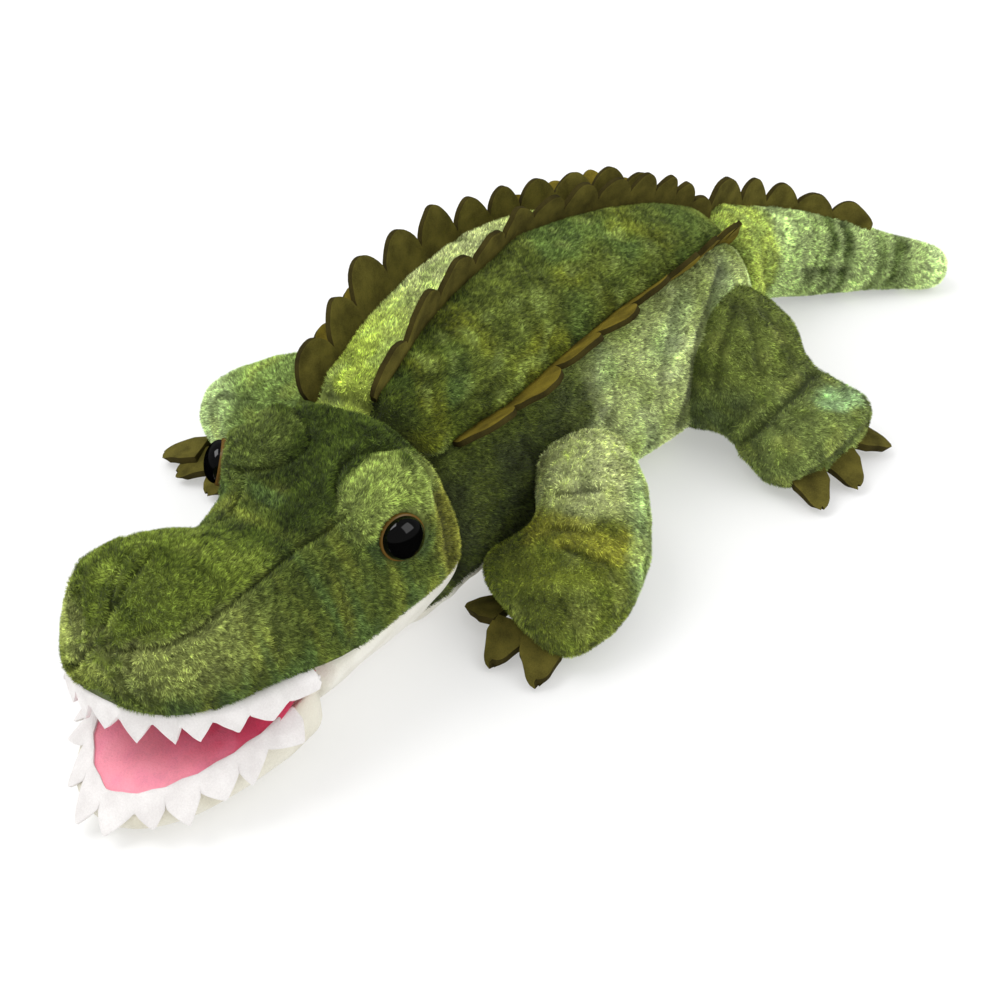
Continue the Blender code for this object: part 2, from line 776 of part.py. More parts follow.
def flat_piece(name, outline, thickness, edge, colour, collection):
    """A flat outline, thickened both ways from its plane, with its edge rounded."""
    curve = bpy.data.curves.new(name, "CURVE")
    curve.dimensions = "2D"
    curve.fill_mode = "BOTH"
    curve.extrude = thickness / 2 - edge
    curve.bevel_depth = edge
    curve.bevel_resolution = 0
    line = curve.splines.new("POLY")
    line.points.add(len(outline) - 1)
    for point, (x, y) in zip(line.points, outline):
        point.co = (x, y, 0, 1)
    line.use_cyclic_u = True
    curve.materials.append(colour)
    return new_object(name, curve, collection)


def mouth_outline(edge, inset, back, slope=1.0):
    """The lining's outline: the mouth's U drawn in from its edge, closed straight across behind."""
    outline = []
    for turn in even_turns(edge, 0.0, LINING_STEPS):
        place = edge(turn, inset)
        outline.append((place[1], (place[0] - back) / slope))
    return outline


def mouth_lining(name, outline, place, tilt, thickness, colour, parts):
    piece = flat_piece(name, outline, thickness, GAP / 2, colour, parts)
    piece.rotation_euler = (tilt, 0, math.radians(HEAD_YAW))
    piece.location = place
    return piece


def turned(name, profile, steps, collection):
    """A solid turned from a profile that runs down its outer side."""
    mesh = bpy.data.meshes.new(name)
    mesh.from_pydata([(r, 0, z) for r, z in profile], [(i, i + 1) for i in range(len(profile) - 1)], [])
    piece = new_object(name, mesh, collection)
    screw = piece.modifiers.new("Turn", "SCREW")
    screw.steps = steps
    screw.render_steps = steps
    screw.use_merge_vertices = True
    screw.merge_threshold = 0.00001
    return piece


def eye_profile():
    """Down the outer side: the dome, the rim round it, the seat and the post."""
    dome_radius = EYE_DIAMETER / 2 * EYE_PUPIL_SHARE
    profile = []
    for k in range(DOME_STEPS + 1):
        a = math.pi / 2 * k / DOME_STEPS
        profile.append((dome_radius * math.sin(a), EYE_RIM + EYE_DOME * math.cos(a)))
    profile.append((EYE_DIAMETER / 2 - EYE_RIM / 2, EYE_RIM))
    profile.append((EYE_DIAMETER / 2, EYE_RIM / 2))
    profile.append((EYE_DIAMETER / 2, 0))
    profile.append((POST_DIAMETER / 2, 0))
    profile.append((POST_DIAMETER / 2, -POST_LENGTH))
    profile.append((0, -POST_LENGTH))
    return profile


def washer_profile():
    """A coned locking washer, as a closed ring."""
    bore = POST_DIAMETER / 2 + GAP
    rim = WASHER_DIAMETER / 2
    half = WASHER_THICKNESS / 2
    return [
        (bore, half + WASHER_CONE),
        (rim, half),
        (rim, -half),
        (bore, -half + WASHER_CONE),
        (bore, half + WASHER_CONE),
    ]


def round_cutter(name, low_radius, high_radius, low, high, steps, cutters):
    """A round cutter along its own Z, from low to high."""
    mesh = bmesh.new()
    bmesh.ops.create_cone(
        mesh, cap_ends=True, segments=steps, radius1=low_radius, radius2=high_radius, depth=high - low
    )
    bmesh.ops.translate(mesh, verts=mesh.verts, vec=(0, 0, (high + low) / 2))
    data = bpy.data.meshes.new(name)
    mesh.to_mesh(data)
    mesh.free()
    return hidden(new_object(name, data, cutters))


def hidden(piece):
    piece.hide_render = True
    piece.display_type = "WIRE"
    return piece


def eye_frame(side):
    """Where an eye sits and how it is turned: its Z points out of the head."""
    seat = on_head(EYE_BACK, side * EYE_SIDE, EYE_LEVEL)
    ahead = math.radians(EYE_FORWARD_TURN)
    up = math.radians(EYE_UP_TURN)
    facing = (LEFT * side * math.cos(ahead) - BACK * math.sin(ahead)) * math.cos(up) + UP * math.sin(up)
    return seat, facing.to_track_quat("Z", "Y")


def add_eye(side, name, socketed, gloss, plastic, parts, cutters):
    """A safety eye and its washer, with the socket, post hole and washer pocket cut into what holds it."""
    seat, turn = eye_frame(side)
    eye = turned("eye_" + name, eye_profile(), EYE_STEPS, parts)
    eye.data.materials.append(gloss)
    eye.data.shade_smooth()
    eye.data.set_sharp_from_angle(angle=math.radians(EDGE_ANGLE))
    washer = turned("eye_washer_" + name, washer_profile(), EYE_STEPS, parts)
    washer.data.materials.append(plastic)
    depth = -WASHER_STAND_OFF
    socket = round_cutter(
        "socket_" + name, EYE_DIAMETER / 2 + GAP, EYE_DIAMETER / 2 + SOCKET_FLARE, -GAP, SOCKET_REACH, EYE_STEPS, cutters
    )
    hole = round_cutter(
        "post_hole_" + name, POST_DIAMETER / 2 + GAP, POST_DIAMETER / 2 + GAP, -POST_LENGTH - GAP, OVERRUN, EYE_STEPS, cutters
    )
    pocket_reach = WASHER_THICKNESS / 2 + WASHER_CONE + GAP
    pocket = round_cutter(
        "washer_pocket_" + name,
        WASHER_DIAMETER / 2 + GAP,
        WASHER_DIAMETER / 2 + GAP,
        depth - pocket_reach,
        depth + pocket_reach,
        EYE_STEPS,
        cutters,
    )
    for piece in (eye, washer, socket, hole, pocket):
        piece.rotation_mode = "QUATERNION"
        piece.rotation_quaternion = turn
        piece.location = seat
    washer.location = seat + turn @ Vector((0, 0, depth))
    for piece in socketed:
        for cutter in (socket, hole, pocket):
            cut(piece, cutter)
    return eye, washer


def brow_form(side):
    centre = on_head(BROW_BACK, side * BROW_SIDE, BROW_LEVEL)

    def section(t):
        return centre + BACK * (t - 1 / 2) * BROW_LENGTH, LEFT, UP, BROW_WIDTH / 2, BROW_HEIGHT / 2, BROW_HEIGHT / 2

    return Form(section, BROW_ROUNDNESS_SHARE, BROW_LENGTH / 2, BROW_LENGTH / 2, BROW_LENGTH)


def add_form(name, form, steps, sides, colour, parts):
    piece = new_object(name, form_mesh(name, form, steps, sides), parts)
    piece.data.materials.append(colour)
    piece.data.shade_smooth()
    piece.data.set_sharp_from_angle(angle=math.radians(EDGE_ANGLE))
    return piece


def room_for(name, form, steps, sides, spare, cutters):
    """A form with a gap and some spare room round it, to cut what touches it."""
    room = Form(form.section, form.roundness, form.front_round, form.rear_round, form.length, under=form.under)
    return hidden(new_object(name, form_mesh(name, room, steps, sides, -GAP - spare), cutters))


def clear_swing(piece, room, pivot, axis, swing, cutters):
    """Cuts a piece so that it clears the form beside it all through its swing, given in degrees, about its hinge."""
    low, high = swing
    count = max(1, math.ceil((high - low) / SWING_STEP))
    swept = bpy.data.collections.new(piece.name + "_swing")
    cutters.children.link(swept)
    for k in range(count + 1):
        angle = low + (high - low) * k / count
        turn = Matrix.Rotation(-math.radians(angle), 3, axis)
        copy = hidden(new_object(f"{room.name}_{piece.name}_{k}", room.data, swept))
        copy.rotation_euler = turn.to_euler()
        copy.location = pivot - turn @ pivot
    boolean = piece.modifiers.new("Swing", "BOOLEAN")
    boolean.operation = "DIFFERENCE"
    boolean.operand_type = "COLLECTION"
    boolean.collection = swept
    boolean.solver = "EXACT"


def toe_setback(form, aside, below):
    """How far behind the toe's end its skin lies, aside of its middle and below it."""
    half, rise = form.section(1.0)[3], form.section(1.0)[4]
    full = ((abs(aside) / half) ** form.roundness + (abs(below) / rise) ** form.roundness) ** (1 / form.roundness)
    return form.rear_round * (1 - max(0.0, 1 - full**END_ROUNDNESS_SHARE) ** (1 / END_ROUNDNESS_SHARE))


def claw_outline(room):
    """A felt tongue that narrows from its root to a round tip. room widens it for the pocket."""
    half = CLAW_WIDTH / 2 + room
    root = CLAW_ROOT_WIDTH / 2 + room
    tip = CLAW_TIP + room
    outline = [(-half, 0), (-root, -CLAW_ROOT - room), (root, -CLAW_ROOT - room), (half, 0)]
    for k in range(CLAW_STEPS + 1):
        a = math.pi * k / CLAW_STEPS
        outline.append((tip * math.cos(a), CLAW_LENGTH - CLAW_TIP + tip * math.sin(a)))
    return outline


def slab(name, outline, half, cutters):
    """A flat cutter of an outline."""
    mesh = bmesh.new()
    face = mesh.faces.new([mesh.verts.new((x, y, -half)) for x, y in outline])
    grown = bmesh.ops.extrude_face_region(mesh, geom=[face])
    raised = [v for v in grown["geom"] if isinstance(v, bmesh.types.BMVert)]
    bmesh.ops.translate(mesh, verts=raised, vec=(0, 0, 2 * half))
    bmesh.ops.recalc_face_normals(mesh, faces=mesh.faces)
    data = bpy.data.meshes.new(name)
    mesh.to_mesh(data)
    mesh.free()
    return hidden(new_object(name, data, cutters))


def add_claws(name, leg, form, felt, parts, cutters):
    """Three felt claws in pockets across the toes."""
    centre, side, up, half, rise, drop = form.section(1.0)
    ahead = (form.section(1.0)[0] - form.section(1 - PROBE_SHARE)[0]) * Vector((1, 1, 0))
    ahead.normalize()
    claws = []
    for k in (-1, 0, 1):
        aside = k * CLAW_SPREAD_SHARE * half
        back = toe_setback(form, aside, centre.z - CLAW_LEVEL)
        place = centre + side * aside - ahead * back
        place.z = CLAW_LEVEL
        fan = math.atan2(ahead.y, ahead.x) - math.pi / 2 - k * math.radians(CLAW_FAN)
        turn = (-math.radians(CLAW_TILT), 0, fan)
        claw = flat_piece(f"{name}_claw_{k + 2}", claw_outline(0.0), CLAW_THICKNESS, CLAW_EDGE, felt, parts)
        pocket = slab(f"{name}_claw_pocket_{k + 2}", claw_outline(CLAW_EDGE + GAP), CLAW_THICKNESS / 2 + GAP, cutters)
        for piece in (claw, pocket):
            piece.location = place
            piece.rotation_euler = turn
        cut(leg, pocket)
        claws.append(claw)
    return claws


def hang(pieces, holder, place):
    """Parents pieces to an empty on their joint's axis, leaving them where they are."""
    for piece in pieces:
        piece.parent = holder
        piece.location = Vector(piece.location) - place


def empty(name, place, holder, collection):
    made = bpy.data.objects.new(name, None)
    made.empty_display_size = EMPTY_SIZE
    collection.objects.link(made)
    made.parent = holder
    made.location = place
    return made


def body_strips(form, felt, parts):
    """Two rows of scales along the spine and one along each flank, with their feet in the seams."""
    strips = []
    for name, sign, (count, start) in (("left", 1, SPINE_ROWS_SHARES[0]), ("right", -1, SPINE_ROWS_SHARES[1])):

        def spine_seam(t, sign=sign):
            return spine_turn(form, t, sign)

        def along(u, start=start):
            return start + (SPINE_END_SHARE - start) * u

        def spine_place(u, seam=spine_seam, along=along):
            return seam_point(form, seam, along(u), CLOTH)

        def spine_rise(u, seam=spine_seam, along=along):
            return form.normal(along(u), seam(along(u)))

        def spine_grow(u, sign=sign, seam=spine_seam, along=along):
            lean = math.radians(SPINE_LEAN)
            out = form.normal(along(u), seam(along(u)))
            out = Vector((0, out.y, max(out.z, PROBE_SHARE))).normalized()
            return out * math.cos(lean) + Vector((sign, 0, 0)) * math.sin(lean)

        ways = (spine_place, spine_rise, spine_grow)
        sizes = (count, CLOTH + GAP, SPINE_SCALE_HEIGHT, FELT)
        strips.append(scale_strip(f"spine_scales_{name}", *ways, *sizes, felt, parts))

        def flank_seam(t, sign=sign):
            return flank_turn(t, sign)

        def flank_place(u, seam=flank_seam):
            return seam_point(form, seam, FLANK_START_SHARE + (FLANK_END_SHARE - FLANK_START_SHARE) * u, CLOTH)

        def flank_grow(u, seam=flank_seam):
            t = FLANK_START_SHARE + (FLANK_END_SHARE - FLANK_START_SHARE) * u
            return form.normal(t, seam(t))

        ways = (flank_place, flank_grow, flank_grow)
        sizes = (FLANK_SCALES, CLOTH + GAP, FLANK_SCALE_HEIGHT, FELT)
        strips.append(scale_strip(f"flank_scales_{name}", *ways, *sizes, felt, parts))
    return strips


def body_panels(form, furs, parts):
    """Six fur panels round the filling, apart by a seam's width, or by the felt that stands in the seam."""

    felt_room = FELT / 2 + GAP + FACET_ROOM / 2
    plain_room = SEAM_GAP / 2
    seams = {
        "belly_left": (lambda t: BELLY_TURN, plain_room),
        "flank_left": (lambda t: flank_turn(t, 1), felt_room),
        "spine_left": (lambda t: spine_turn(form, t, 1), felt_room),
        "spine_right": (lambda t: spine_turn(form, t, -1), felt_room),
        "flank_right": (lambda t: flank_turn(t, -1), felt_room),
        "belly_right": (lambda t: 180 - BELLY_TURN, plain_room),
    }

    def edge(seam, sign, whole=0.0):
        turn_at, room = seams[seam]

        def turn(t):
            return turn_at(t) + sign * turn_step(form, t, turn_at(t), room) - whole

        return turn

    rows = (
        ("spine_band", "spine_left", "spine_right", "band", 0.0),
        ("back_panel_left", "flank_left", "spine_left", "dark", 0.0),
        ("back_panel_right", "spine_right", "flank_right", "dark", 0.0),
        ("side_panel_left", "belly_left", "flank_left", "pale", 0.0),
        ("side_panel_right", "flank_right", "belly_right", "pale", 0.0),
        ("belly_panel", "belly_right", "belly_left", "cream", 360.0),
    )
    return [
        skin_panel(name, form, edge(low, 1, whole), edge(high, -1), furs[fur], parts)
        for name, low, high, fur, whole in rows
    ]


def crest_strip(form, name, room, extra, felt, collection):
    """The single row of scales on the tail or, with room all round it, the slot that it stands in."""
    spare = 2 * room / form.length
    start, end = CREST_START_SHARE - spare, CREST_END_SHARE + spare

    def place(u):
        return form.point(start + (end - start) * u, CREST_TURN, CREST_SEAT + room)

    def grow(u):
        return form.section(start + (end - start) * u)[2]

    sizes = (CREST_SCALES, CREST_SEAT + room, CREST_SCALE_HEIGHT + extra, FELT + 2 * room)
    return scale_strip(name, place, grow, grow, *sizes, felt, collection)


def clear_scene():
    for item in list(bpy.data.objects):
        bpy.data.objects.remove(item, do_unlink=True)


def centre_on_origin(root, parts):
    """Moves the toy so that its box is centred over the origin and stands on z = 0."""
    bpy.context.view_layer.update()
    seen = bpy.context.evaluated_depsgraph_get()
    low = Vector((math.inf,) * 3)
    high = Vector((-math.inf,) * 3)
    for piece in parts.objects:
        if piece.type == "EMPTY":
            continue
        shown = piece.evaluated_get(seen)
        mesh = shown.to_mesh()
        for vertex in mesh.vertices:
            place = shown.matrix_world @ vertex.co
            low = Vector(map(min, low, place))
            high = Vector(map(max, high, place))
        shown.to_mesh_clear()
    root.location = (-(low.x + high.x) / 2, -(low.y + high.y) / 2, -low.z)
    print("moved to its origin by", [round(v, 5) for v in root.location])
    print("size", [round(v, 5) for v in high - low])


def build():
    clear_scene()
    parts = bpy.data.collections.new("plush_crocodile")
    cutters = bpy.data.collections.new("cutters")
    for made in (parts, cutters):
        bpy.context.scene.collection.children.link(made)
    furs = {
        "dark": material("moss_green_fur", (74, 98, 34), 0.95),
        "band": material("yellow_green_fur", (176, 190, 112), 0.95),
        "pale": material("pale_green_fur", (158, 182, 118), 0.95),
        "leg": material("olive_green_fur", (128, 148, 66), 0.95),
        "cream": material("cream_fur", (228, 222, 206), 0.95),
    }
    felt = material("olive_felt", (92, 80, 30), 0.9)
    white_felt = material("white_felt", (236, 236, 234), 0.85)
    pink = material("pink_lining", (240, 120, 155), 0.8)
    gloss = material("black_gloss", (10, 9, 9), 0.12)
    plastic = material("clear_plastic", (216, 216, 210), 0.4)
    filling = material("polyester_filling", (238, 238, 234), 1.0)

    root = empty("crocodile", Vector((0, 0, 0)), None, parts)
    neck = Vector((NECK_X, NECK_Y, LIP_LEVEL))
    tail_root = Vector((TAIL_HINGE_X, BODY_REAR_Y + TAIL_HINGE_BACK, TAIL_HINGE_LEVEL))
    jaw_hinge = on_head(JAW_HINGE_BACK, 0, JAW_HINGE_LEVEL)
    neck_pivot = empty("neck_pivot", neck, root, parts)
    jaw_pivot = empty("jaw_pivot", jaw_hinge - neck, neck_pivot, parts)
    tail_pivot = empty("tail_pivot", tail_root, root, parts)

    body = body_form()
    core = new_object("torso", form_mesh("torso", body, BODY_STEPS, BODY_SIDES, CLOTH + GAP + FACET_ROOM / 2), parts)
    core.data.materials.append(filling)
    held = [core, *body_panels(body, furs, parts), *body_strips(body, felt, parts)]
    room = room_for("body_room", body, BODY_STEPS, BODY_SIDES, FACET_ROOM / 2, cutters)
    neck_room = room_for("neck_room", body, BODY_STEPS, BODY_SIDES, FACET_ROOM, cutters)
    hang([*held, room, neck_room], root, Vector((0, 0, 0)))

    head = add_form("head", head_form(), HEAD_STEPS, FORM_SIDES + 2, furs["dark"], parts)
    throat = add_form("throat", throat_form(), LIMB_STEPS, FORM_SIDES, furs["cream"], parts)
    jaw = add_form("lower_jaw", jaw_form(), LIMB_STEPS, FORM_SIDES, furs["cream"], parts)
    head_room = room_for("head_room", head_form(), HEAD_STEPS, FORM_SIDES + 2, FACET_ROOM / 2, cutters)
    throat_room = room_for("throat_room", throat_form(), LIMB_STEPS, FORM_SIDES, FACET_ROOM, cutters)
    for piece in (head, throat):
        clear_swing(piece, neck_room, neck, "Z", HEAD_TURN, cutters)
    clear_swing(jaw, throat_room, jaw_hinge, LEFT, JAW_SWING, cutters)
    brows = []
    for side, name in ((1, "left"), (-1, "right")):
        brow = add_form("brow_" + name, brow_form(side), LIMB_STEPS, FORM_SIDES, furs["leg"], parts)
        cut(brow, head_room)
        brows.append(brow)
        brows.extend(add_eye(side, name, (head, brow), gloss, plastic, parts, cutters))

    band = TOOTH_BAND + 2 * GAP
    palate = mouth_lining(
        "palate",
        mouth_outline(upper_edge, band, 0.0),
        on_head(0, 0, LIP_LEVEL - GAP - LINING / 2),
        0.0,
        LINING,
        pink,
        parts,
    )
    slope = math.atan2(JAW_REAR_TOP - JAW_FRONT_TOP, JAW_DEPTH)
    front = JAW_CORNER - JAW_DEPTH
    floor = mouth_lining(
        "mouth_floor",
        mouth_outline(lower_edge, band, front, math.cos(slope)),
        on_head(front, 0, rim_level(front) - LINING / 2),
        slope,
        LINING * math.cos(slope),
        pink,
        parts,
    )
    hang([head, throat, palate, upper_teeth(white_felt, parts), *brows], neck_pivot, neck)
    hang([jaw, floor, lower_teeth(white_felt, parts)], jaw_pivot, jaw_hinge)

    tail_shape = tail_form()
    tail = add_form("tail", tail_shape, HEAD_STEPS, FORM_SIDES, furs["pale"], parts)
    clear_swing(tail, room, tail_root, "Z", TAIL_SWING, cutters)
    crest = crest_strip(tail_shape, "tail_crest", 0.0, 0.0, felt, parts)
    slot = hidden(crest_strip(tail_shape, "crest_slot", GAP, OVERRUN, felt, cutters))
    cut(tail, slot)
    hang([tail, crest], tail_pivot, tail_root)

    for name, path, shares, side in (
        ("front_left", FRONT_LEFT_PATH, FRONT_LEG_SHARES, 1),
        ("front_right", FRONT_RIGHT_PATH, FRONT_LEG_SHARES, -1),
        ("hind_left", behind_body(HIND_LEFT_PLACES), HIND_LEG_SHARES, 1),
        ("hind_right", behind_body(HIND_RIGHT_PLACES), HIND_LEG_SHARES, -1),
    ):
        form = leg_form(path, shares)
        leg = add_form(name + "_leg", form, LIMB_STEPS, FORM_SIDES - 2, furs["leg"], parts)
        place = Vector((side * LEG_HINGE_SIDE, path[0].y, LEG_HINGE_LEVEL))
        clear_swing(leg, room, place, Vector((0, -side, 0)), LEG_LIFT, cutters)
        claws = add_claws(name, leg, form, felt, parts, cutters)
        pivot = empty(name + "_pivot", place, root, parts)
        hang([leg, *claws], pivot, place)

    for cutter in cutters.all_objects:
        if cutter.parent is None:
            cutter.parent = root
    centre_on_origin(root, parts)


build()
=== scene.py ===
"""A plush crocodile: fur skins, felt scales, teeth and claws, a lined mouth and safety eyes.

Lengths are metres unless a name or a comment says millimetres. Shapes are worked out in the toy's own
measure, where it looks along -Y, and are moved by TOY_SHIFT into the frame. Tables of shares run from the
snout or the root onward, and each row starts with how far along it stands.
"""

import math

import bpy
import numpy as np
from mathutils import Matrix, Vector, noise


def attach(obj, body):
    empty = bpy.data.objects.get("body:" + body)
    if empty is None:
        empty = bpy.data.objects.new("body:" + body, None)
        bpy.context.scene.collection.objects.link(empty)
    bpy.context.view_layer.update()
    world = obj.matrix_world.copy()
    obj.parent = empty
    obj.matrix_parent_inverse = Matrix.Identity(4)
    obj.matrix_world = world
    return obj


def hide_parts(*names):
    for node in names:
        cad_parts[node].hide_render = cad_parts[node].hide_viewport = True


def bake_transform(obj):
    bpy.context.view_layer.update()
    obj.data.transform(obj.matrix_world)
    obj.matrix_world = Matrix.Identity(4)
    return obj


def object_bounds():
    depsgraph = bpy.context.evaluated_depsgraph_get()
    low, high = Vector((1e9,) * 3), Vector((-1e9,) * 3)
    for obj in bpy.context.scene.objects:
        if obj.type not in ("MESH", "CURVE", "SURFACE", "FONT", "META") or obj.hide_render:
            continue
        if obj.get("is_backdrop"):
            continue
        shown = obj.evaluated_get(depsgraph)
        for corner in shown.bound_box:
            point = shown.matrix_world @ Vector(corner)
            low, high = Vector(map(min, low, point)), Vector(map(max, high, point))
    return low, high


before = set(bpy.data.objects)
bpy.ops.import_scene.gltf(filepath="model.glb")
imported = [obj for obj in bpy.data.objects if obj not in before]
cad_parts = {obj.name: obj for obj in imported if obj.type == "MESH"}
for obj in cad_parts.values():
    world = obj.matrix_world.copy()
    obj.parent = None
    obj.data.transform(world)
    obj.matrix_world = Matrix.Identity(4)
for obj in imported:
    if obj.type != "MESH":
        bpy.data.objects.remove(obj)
cad_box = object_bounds()

MM = 0.001
TOY_SHIFT = np.array((0.00391, 0.02721, 0.0))

# The photograph: its size, and where its camera stood in the toy's own measure
PHOTO_PIXELS = 1000
CAMERA_AZIMUTH = math.radians(44)
CAMERA_ELEVATION = math.radians(37)
CAMERA_PLACE = np.array((0.4127, -0.4655, 0.4378))
CAMERA_PIXELS = 1920
PIXELS_A_MM = 2.7
SENSOR_MM = 36.0

# Felt
FELT = 0.0020
TOOTH_FELT = 0.0014
SCALE_SEAT = 0.0020
SEWN_IN_MM = 2.2

# Body
BODY_LENGTH = 0.243
BODY_WIDTH = 0.098
BODY_HEIGHT = 0.097
BODY_FRONT_Y = -0.143
BODY_ENDS = (0.024, 0.034)
BODY_WIDEST_SHARE = 0.30
PRESSED = 0.0005
# how far aside the middle lies, the half width and the top
BODY_SHARES = (
    (0.00, 0.18, 0.33, 0.91),
    (0.12, 0.12, 0.38, 0.97),
    (0.24, 0.04, 0.44, 1.02),
    (0.40, -0.03, 0.49, 1.03),
    (0.56, -0.05, 0.49, 1.01),
    (0.72, -0.04, 0.47, 0.945),
    (0.80, -0.04, 0.44, 0.88),
    (0.88, -0.04, 0.40, 0.78),
    (0.95, -0.04, 0.34, 0.66),
    (1.00, -0.04, 0.30, 0.57),
)
BAND_WIDTH = 0.0235
BAND_MOST_SHARE = 0.85
BAND_SHARES = ((0.0, 1.1), (0.42, 1.12), (0.56, 0.85), (0.68, 0.5), (0.9, 0.34), (1.0, 0.34))
# how many degrees the back rolls to the right
ROLL_SHARES = (
    (0.0, 2.0),
    (0.18, 6.0),
    (0.3, 9.5),
    (0.5, 12.5),
    (0.6, 10.5),
    (0.7, 7.0),
    (0.8, 4.0),
    (1.0, 2.0),
)
# how many degrees up from the side the left and the right flank's seam lies
FLANK_TURN_SHARES = (
    (0.0, 34.0, 30.0),
    (0.18, 34.0, 29.0),
    (0.28, 32.0, 28.0),
    (0.49, 38.0, 28.0),
    (0.6, 42.0, 32.0),
    (0.73, 47.0, 39.0),
    (0.9, 61.0, 54.0),
    (1.0, 66.0, 60.0),
)
BELLY_TURN_SHARES = ((0.0, -18.0), (0.27, -22.0), (0.42, -60.0), (1.0, -64.0))

# Felt scales
SPINE_SCALE_HEIGHT = 0.0125
SPINE_LEAN = 11.0
# where along the body each scale of the left and the right row has its middle
SPINE_MIDDLES_SHARES = (
    (0.131, 0.225, 0.325, 0.411, 0.495, 0.565, 0.634, 0.715, 0.766, 0.816, 0.862, 0.905),
    (0.089, 0.156, 0.242, 0.325, 0.408, 0.486, 0.546, 0.606, 0.670, 0.740, 0.805),
)
FLANK_SCALE_HEIGHT = 0.0145
FLANK_NOTCHES_SHARES = (0.170, 0.278, 0.381, 0.475, 0.562, 0.645, 0.72, 0.79, 0.855, 0.912)
SCALE_NOTCH_SHARE = 0.20
# the height of the scales of the left and the right row
SPINE_HEIGHT_SHARES = (
    (0.0, 0.85, 1.1),
    (0.2, 0.9, 1.35),
    (0.4, 0.9, 1.35),
    (0.5, 0.85, 1.0),
    (0.6, 0.8, 0.8),
    (0.85, 0.8, 0.75),
    (1.0, 0.5, 0.6),
)
FLANK_RISE_DEGREES = ((0.17, 30), (0.5, 36), (0.65, 50), (0.92, 58))
CREST_SCALE_HEIGHT = 0.0120
CREST_NOTCHES_SHARES = (0.03, 0.21, 0.335, 0.465, 0.60, 0.745)
CREST_SEAT = 0.0035
CREST_HEIGHT_SHARES = ((0.12, 1.05), (0.27, 1.05), (0.40, 0.85), (0.53, 0.68), (0.67, 0.85))

# Head, measured back from the tip of the snout
HEAD_TIP = np.array((0.042, -0.243, 0.0))
HEAD_YAW = math.radians(10)
HEAD_LENGTH = 0.128
HEAD_WIDTH = 0.094
HEAD_TOP = 0.096
LIP_LEVEL = 0.040
LIP_TUCK = 0.012
# the lip's level at each place back from the snout's tip
LIP_MM = ((0, 44.5), (10, 43.5), (25, 42.2), (42, 42.5), (55, 42), (75, 40))
HEAD_ENDS = (0.026, 0.022)
# how far aside the middle lies, the half width, the top, and how high the widest place is
HEAD_SHARES = (
    (0.00, -0.10, 0.34, 0.86, 0.56),
    (0.16, -0.07, 0.35, 0.93, 0.56),
    (0.31, -0.02, 0.36, 0.88, 0.55),
    (0.45, 0.03, 0.37, 0.81, 0.54),
    (0.59, 0.045, 0.395, 0.87, 0.53),
    (0.74, 0.045, 0.42, 0.94, 0.53),
    (0.88, 0.03, 0.45, 0.98, 0.53),
    (1.00, 0.00, 0.45, 0.94, 0.53),
)
BROW_PLACES = {1: (0.0955, 0.0275, 0.0735), -1: (0.0955, -0.0180, 0.0735)}
BROW_PIVOTS = {1: (0.0955, 0.018, 0.066), -1: (0.0955, -0.010, 0.066)}
BROW_SIZE = (0.038, 0.0260, 0.0275)
VALLEY_DEPTH = 0.005
# the level, at each place back from the snout's tip, of the seam between the head's dark top and its sides
SNOUT_SEAM_MM = (
    (0, 52),
    (2, 58.5),
    (4.6, 67),
    (16, 73.1),
    (26, 75.3),
    (46, 74.8),
    (57, 73.4),
    (65, 74.7),
    (76, 77.6),
    (128, 80),
)

# Eyes
EYE_PLACES = {1: (0.0895, 0.0375, 0.0690), -1: (0.0876, -0.0328, 0.0700)}
EYE_DOME = 0.0046
EYE_RIM = 0.0011
EYE_SHOWN = 0.0158
EYE_OUT = 0.0008
PUPIL_SHARE = 0.92
# the radius of the ring that closes a turned solid
CLOSED = 1e-5
EYE_FORWARD_TURNS = {1: math.radians(24), -1: math.radians(38)}
EYE_UP_TURN = math.radians(14)

# Throat and jaw
THROAT_START = 0.0540
THROAT_LENGTH = 0.0820
THROAT_WIDTH = 0.074
THROAT_ENDS = (0.006, 0.018)
THROAT_SHARES = ((0.0, 0.0, 0.46), (0.25, 0.0, 0.47), (0.6, 0.0, 0.50), (1.0, 0.0, 0.48))
MOUTH = {"corner": 0.048, "depth": 0.0465, "width": 0.069, "roundness": 2.3, "lean": 0.0105}
JAW = {"corner": 0.060, "depth": 0.071, "width": 0.070, "roundness": 2.3, "lean": 0.004}
FLOOR = {"corner": 0.049, "depth": 0.0565, "width": 0.067, "roundness": 1.75, "lean": 0.0033}
JAW_FRONT_TOP = 0.0135
JAW_REAR_TOP = 0.0350
JAW_REAR_ROUND = 0.012
JAW_WIDEST_SHARE = 0.55
JAW_SLOPE = 24.0
TOOTH_BAND = 0.0030
UPPER_TEETH = 13
UPPER_TOOTH_HEIGHT = 0.0125
UPPER_CORNER_SHARE = 0.28
LOWER_TEETH = 12
LOWER_TOOTH_HEIGHT = 0.0100
LOWER_CORNER_SHARE = 0.70
LOWER_TEETH_TURN = 12.0
TOOTH_SKEW = 2.6

